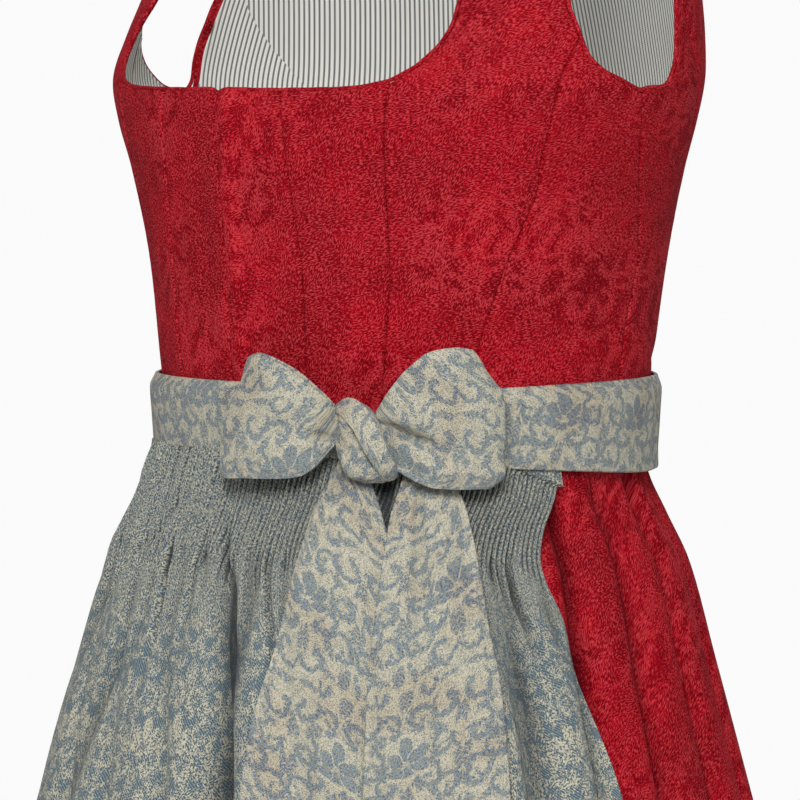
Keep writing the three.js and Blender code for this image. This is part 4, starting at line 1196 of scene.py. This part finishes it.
def loop_grid(loop):
    side, index = loop["side"], np.arange(len(LOOP_PATH))
    place = np.linspace(0, len(LOOP_PATH) - 1, 110)
    g = np.clip(curve(np.column_stack([index, [row[0] for row in LOOP_PATH]]), place), 0, 1)[None]
    n = curve(np.column_stack([index, [row[1] for row in LOOP_PATH]]), place)[None]
    w = shares(50, 1.5)[:, None]
    behind = ease(place, 8, 9.5)[None]
    front = 1 - behind
    r = blend(loop["start"], curve(loop["reach"], w), g)
    narrow = 1.5 * behind * (1 - g)
    u = blend(curve(loop["bottom"], g) + narrow, curve(loop["top"], g) - narrow, w)
    swell = 3.2 * np.sin(np.pi * w) ** 0.8 * np.sin(np.pi * g) * front
    crease = troughs(r, u, loop["creases"]) * front
    groove = 0.55 * np.exp(-(((w * 50 - 2.3) / 0.7) ** 2)) * front
    curl = 1.4 * np.exp(-((w * 50 / 4) ** 2)) * np.sin(np.pi * g) * front
    return bow_point(side * r, u, n + swell - crease - groove - curl)


loops = {}
for name, loop in LOOPS.items():
    outer = loop_grid(loop)
    if loop["side"] < 0:
        outer = outer[:, ::-1]
    loops[name] = outer
    inner = outer - grid_normal(outer) * BOW_THICK
    piece = wall(f"bow_loop_{name}_cloth", outer, inner, [TIE_CLOTH], shift=(loop["side"] * 17, 33))
    wear(piece, [f"bow_loop_{name}"], outer)

# %% Knot
KNOT = [  # u, left, right, back, front
    (-19, -1.5, 8, 15, 19), (-16.5, -8, 12.6, 12.5, 23), (-12, -11.2, 14.6, 10.5, 25.2),
    (-6, -13.4, 13.6, 8, 26.2), (0, -14.3, 10.5, 7.3, 26.6), (7, -13.8, 7, 7.9, 26),
    (12, -12.6, 4, 8.8, 24), (16, -11, 0, 10, 20.5), (17.6, -9.5, -4, 11.5, 17),
]
WRAP = [  # share, r, u, n, half width
    (0, -14.5, 14.6, 11, 3.4), (0.12, -11, 16.2, 17, 4.6), (0.28, -5, 14.0, 23.5, 5.4),
    (0.45, 0.6, 8, 27.2, 5.3), (0.62, 5.4, -1, 28.4, 5.0), (0.78, 9.4, -8.5, 26.8, 4.6),
    (0.9, 11.4, -12.8, 23.2, 4.2), (1, 12.0, -16, 17.5, 3.2),
]


def knot_body():
    u = np.linspace(KNOT[0][0], KNOT[-1][0], 56)
    left, right, behind, front = [curve(KNOT, u, k)[:, None] for k in (1, 2, 3, 4)]
    turn = np.linspace(0, 2 * np.pi, 80, endpoint=False)[None]
    square = [np.sign(f) * np.abs(f) ** 0.8 for f in (np.cos(turn), np.sin(turn))]
    r = (left + right) / 2 + (right - left) / 2 * square[0]
    height = u[:, None] + 0 * turn
    lines = [(-7, 11, -1.6, 4, 1.5, 2.6), (-1.6, 4, 5.4, -11.5, 1.6, 3.4), (-13, 4, -7, -7, 2.2, 1.2),
             (-4, -4, 0, -15, 2.6, 1.0)]
    dent = troughs(r, height, lines) * ease(square[1], 0, 0.5)
    n = (behind + front) / 2 + (front - behind) / 2 * square[1] - dent
    return bow_point(r, height, n)


def knot_wrap():
    """The strap over the knot: a flattened tube that bends with its path."""
    share = np.linspace(0, 1, 60)
    path = bow_point(*[curve(WRAP, share, k) for k in (1, 2, 3)])
    wide = curve(WRAP, share, 4)[:, None, None]
    along = unit(np.gradient(path, axis=0))
    out = unit(path - bow_point(0, 0, 2.0))
    aside = unit(np.cross(along, out))
    out = np.cross(aside, along)
    turn = np.linspace(0, 2 * np.pi, 40, endpoint=False)[None, :, None]
    flat = np.sign(np.sin(turn)) * np.abs(np.sin(turn)) ** 0.9
    furrow = 0.4 * np.cos(4 * turn + 0.6) * np.sin(np.pi * share)[:, None, None]
    return path[:, None] + aside[:, None] * np.cos(turn) * wide + out[:, None] * (flat * 2.0 + furrow)


def rings_mesh(name, rings, finish, shift=0):
    """A closed body from rings of points, with a rounded fan at each end."""
    count, sides = rings.shape[:2]
    ids = np.arange(count * sides).reshape(count, sides)
    ids = np.concatenate([ids, ids[:, :1]], 1)
    points = np.concatenate([rings.reshape(-1, 3), rings[[0, -1]].mean(1)])
    cloth = np.zeros((len(points), 3))
    cloth[:-2, 0] = run(np.concatenate([rings, rings[:, :1]], 1), 1)[:, :-1].ravel() + shift
    cloth[:-2, 1] = run(rings, 0).ravel() + shift
    ends = [(count * sides, ids[0, k + 1], ids[0, k]) for k in range(sides)]
    ends += [(count * sides + 1, ids[-1, k], ids[-1, k + 1]) for k in range(sides)]
    faces = quads(ids).tolist() + [list(map(int, face)) for face in ends]
    a, b, c = [np.array([points[f[k]] for f in faces]) for k in range(3)]
    if (a * np.cross(b, c)).sum() < 0:
        faces = [face[::-1] for face in faces]
    return make_mesh(name, points, np.array(faces, dtype=object), cloth, [finish])


knot = rings_mesh("bow_knot_cloth", knot_body(), TIE_CLOTH, shift=21)
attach(knot, "root")
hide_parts("bow_knot")
strap = rings_mesh("bow_knot_strap_cloth", knot_wrap(), TIE_CLOTH, shift=48)
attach(strap, "root")
print("knot", len(knot.data.polygons), "and strap", len(strap.data.polygons), "faces")

# %% Tails
TAIL_RIGHT = [  # z, phi of both edges; the wearer's right tail
    (-9, 30, 36), (-20, 27.9, 37.2), (-31, 25.9, 39.2), (-44, 24.9, 41), (-62, 23.7, 42.4), (-85, 22, 42.4),
    (-116, 19.9, 42), (-162, 18.6, 40.6), (-220, 17.8, 38.6), (-300, 17.4, 36), (-375, 17.4, 34.4),
    (-430, 17.4, 33.6),
]
TAIL_LEFT = [  # z, phi of both edges
    (-12, 44.4, 52.5), (-23, 43, 55), (-32, 41.8, 56.3), (-44, 41.1, 57.1), (-62, 40.1, 57.6),
    (-83, 39.1, 58.4), (-110, 38, 59.8), (-160, 37.3, 59.5), (-220, 37.3, 58), (-300, 37.6, 56.2),
    (-385, 38, 54.8), (-450, 38.2, 54.4),
]
TAIL_SLANT, TAIL_WIDE = 26, 60
TAIL_FOLDS = {  # across the tail, z; across, z; half width; depth, where a minus makes a ridge
    "right": [(4, -14, 6, -70, 3.4, -3.0), (12, -16, 15, -74, 2.6, 3.4), (30, -20, 34, -90, 7, -2.2),
              (20, -80, 30, -200, 5, 1.2), (48, -30, 46, -90, 3, 1.4)],
    "left": [(20, -12, 24, -88, 4.2, 4.0), (36, -20, 40, -110, 6, -1.8), (54, -24, 52, -80, 3, 1.6),
             (10, -90, 20, -230, 5, 1.2), (44, -150, 50, -300, 6, 1.4)],
}


def tail(name, edges, lift, slant):
    """A tail that lies on the apron, with folds that run down from the knot."""
    end, top = edges[-1][0], edges[0][0]
    share = shares(62, 1.7)[None]
    z = np.concatenate([np.linspace(top, top - 60, 38), np.linspace(top - 63, end, 80)])[:, None]
    phi = blend(curve(edges, z, 1), curve(edges, z, 2), share)
    across = share * TAIL_WIDE
    folds = troughs(across, z, TAIL_FOLDS[name])
    groove = 0.5 * sum(np.exp(-(((across - seam_at) / 0.7) ** 2)) for seam_at in (2.9, TAIL_WIDE - 2.9))
    z = z - slant * share * ease(-z, -end - 80, -end)
    on_tie = TIE_OUT + BAND_THICK - APRON_THICK - RIB_HEIGHT
    rest = np.maximum(apron_rest(phi, z), on_tie * (1 - ease(-z, 14, 26)))
    wavy = 0.5 * np.sin(share * 7 + z * 0.013) * ease(-z, 60, 160)
    out = rest + APRON_THICK + RIB_HEIGHT + 1.3 + lift + wavy
    inner = off_level(phi, z, out - np.minimum(folds, lift))[::-1]
    outer = off_level(phi, z, out + BOW_THICK - np.minimum(folds, lift) - groove)[::-1]
    piece = wall(f"bow_tail_{name}_cloth", outer, inner, [TIE_CLOTH], shift=(lift * 9, 8))
    wear(piece, [f"bow_tail_{name}"], outer)
    return outer


tails = {
    "right": tail("right", TAIL_RIGHT, 1.4, TAIL_SLANT),
    "left": tail("left", TAIL_LEFT, 4.1, -TAIL_SLANT),
}

# %% [markdown]
# ## Stitching
# Machine stitches are small, but a bow's hem or a band's tab looks unsewn without them. Each stitch
# is a tiny spindle of thread that sinks at both ends, set at an even pitch along a line of the grid
# that it holds down.

# %% Stitches
def stitches(name, lines, finish, pitch=2.6, radius=0.17):
    """Spindles of thread along lines; each line is its points and the way out of the cloth."""
    turn = np.linspace(0, 2 * np.pi, 5, endpoint=False)
    profile = [(-0.5, 0.25, -0.12), (-0.3, 0.9, 0.1), (0.3, 0.9, 0.1), (0.5, 0.25, -0.12)]
    points, faces, cloth = [], [], []
    for line, out in lines:
        length = run(line[None], 1)[0]
        middles = np.arange(pitch, length[-1] - pitch, pitch)
        at = np.stack([np.interp(middles, length, line[:, k]) for k in range(3)], -1)
        normal = unit(np.stack([np.interp(middles, length, out[:, k]) for k in range(3)], -1))
        ahead = np.stack([np.interp(middles + 0.5, length, line[:, k]) for k in range(3)], -1)
        along = unit(ahead - at)
        aside = np.cross(along, normal)
        for place, way, up, over in zip(at, along, normal, aside):
            first = len(points)
            for share, wide, rise in profile:
                middle = place + way * share * pitch * 0.82 + up * rise
                for angle in turn:
                    points.append(middle + radius * wide * (math.cos(angle) * over + math.sin(angle) * up))
                    cloth.append((angle * radius, share * pitch, 0))
            for ring in range(len(profile) - 1):
                for k in range(5):
                    a, b = first + ring * 5 + k, first + ring * 5 + (k + 1) % 5
                    faces.append([a, b, b + 5, a + 5])
            faces.append([first + k for k in range(4, -1, -1)])
            faces.append([first + 15 + k for k in range(5)])
    made = make_mesh(name, np.array(points), np.array(faces, dtype=object), np.array(cloth), [finish])
    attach(made, "root")
    print(f"{name}: {len(faces) // 17} stitches")
    return made


def near_edge(grid, edge, distance):
    """The line at a distance from a grid's left, right, lower or upper edge, with its normals."""
    away = borders(grid)[("left", "right", "low", "high").index(edge)]
    normal = grid_normal(grid)
    if edge in ("low", "high"):
        grid, away, normal = [x.swapaxes(0, 1) for x in (grid, away, normal)]
    line = []
    for points, far, out in zip(grid, away, normal):
        order = np.argsort(far)
        line.append([np.interp(distance, far[order], v[order]) for v in (*points.T, *out.T)])
    line = np.array(line)
    return line[:, :3], line[:, 3:]


def facing(line, way):
    """Turns a line's normals to point away from the body."""
    points, out = line
    outward = points * np.array([1, 1, 0])
    sign = np.sign((out * outward).sum(1))[:, None]
    return points, out * sign * way


tie_lines = [facing(near_edge(tails["left"], edge, 2.9), 1) for edge in ("left", "right")]
tie_lines += [facing(near_edge(tails["right"], edge, 2.9), 1) for edge in ("left", "right")]
tie_lines += [facing(near_edge(tails[name], "low", 2.9), 1) for name in tails]
for name, loop in loops.items():
    points, out = near_edge(loop, "low", 2.3)
    tie_lines.append((points, out))
stitches("tie_stitching", tie_lines, CREAM_THREAD)

# %% The tab of the waistband
tab = waistband[:, -18:]
points, out = facing(near_edge(tab, "low", 2.2), 1)
second, second_out = facing(near_edge(tab, "right", 2.2), 1)
stitches("waistband_stitching", [(points, out), (second, second_out)], CREAM_THREAD, pitch=2.0)
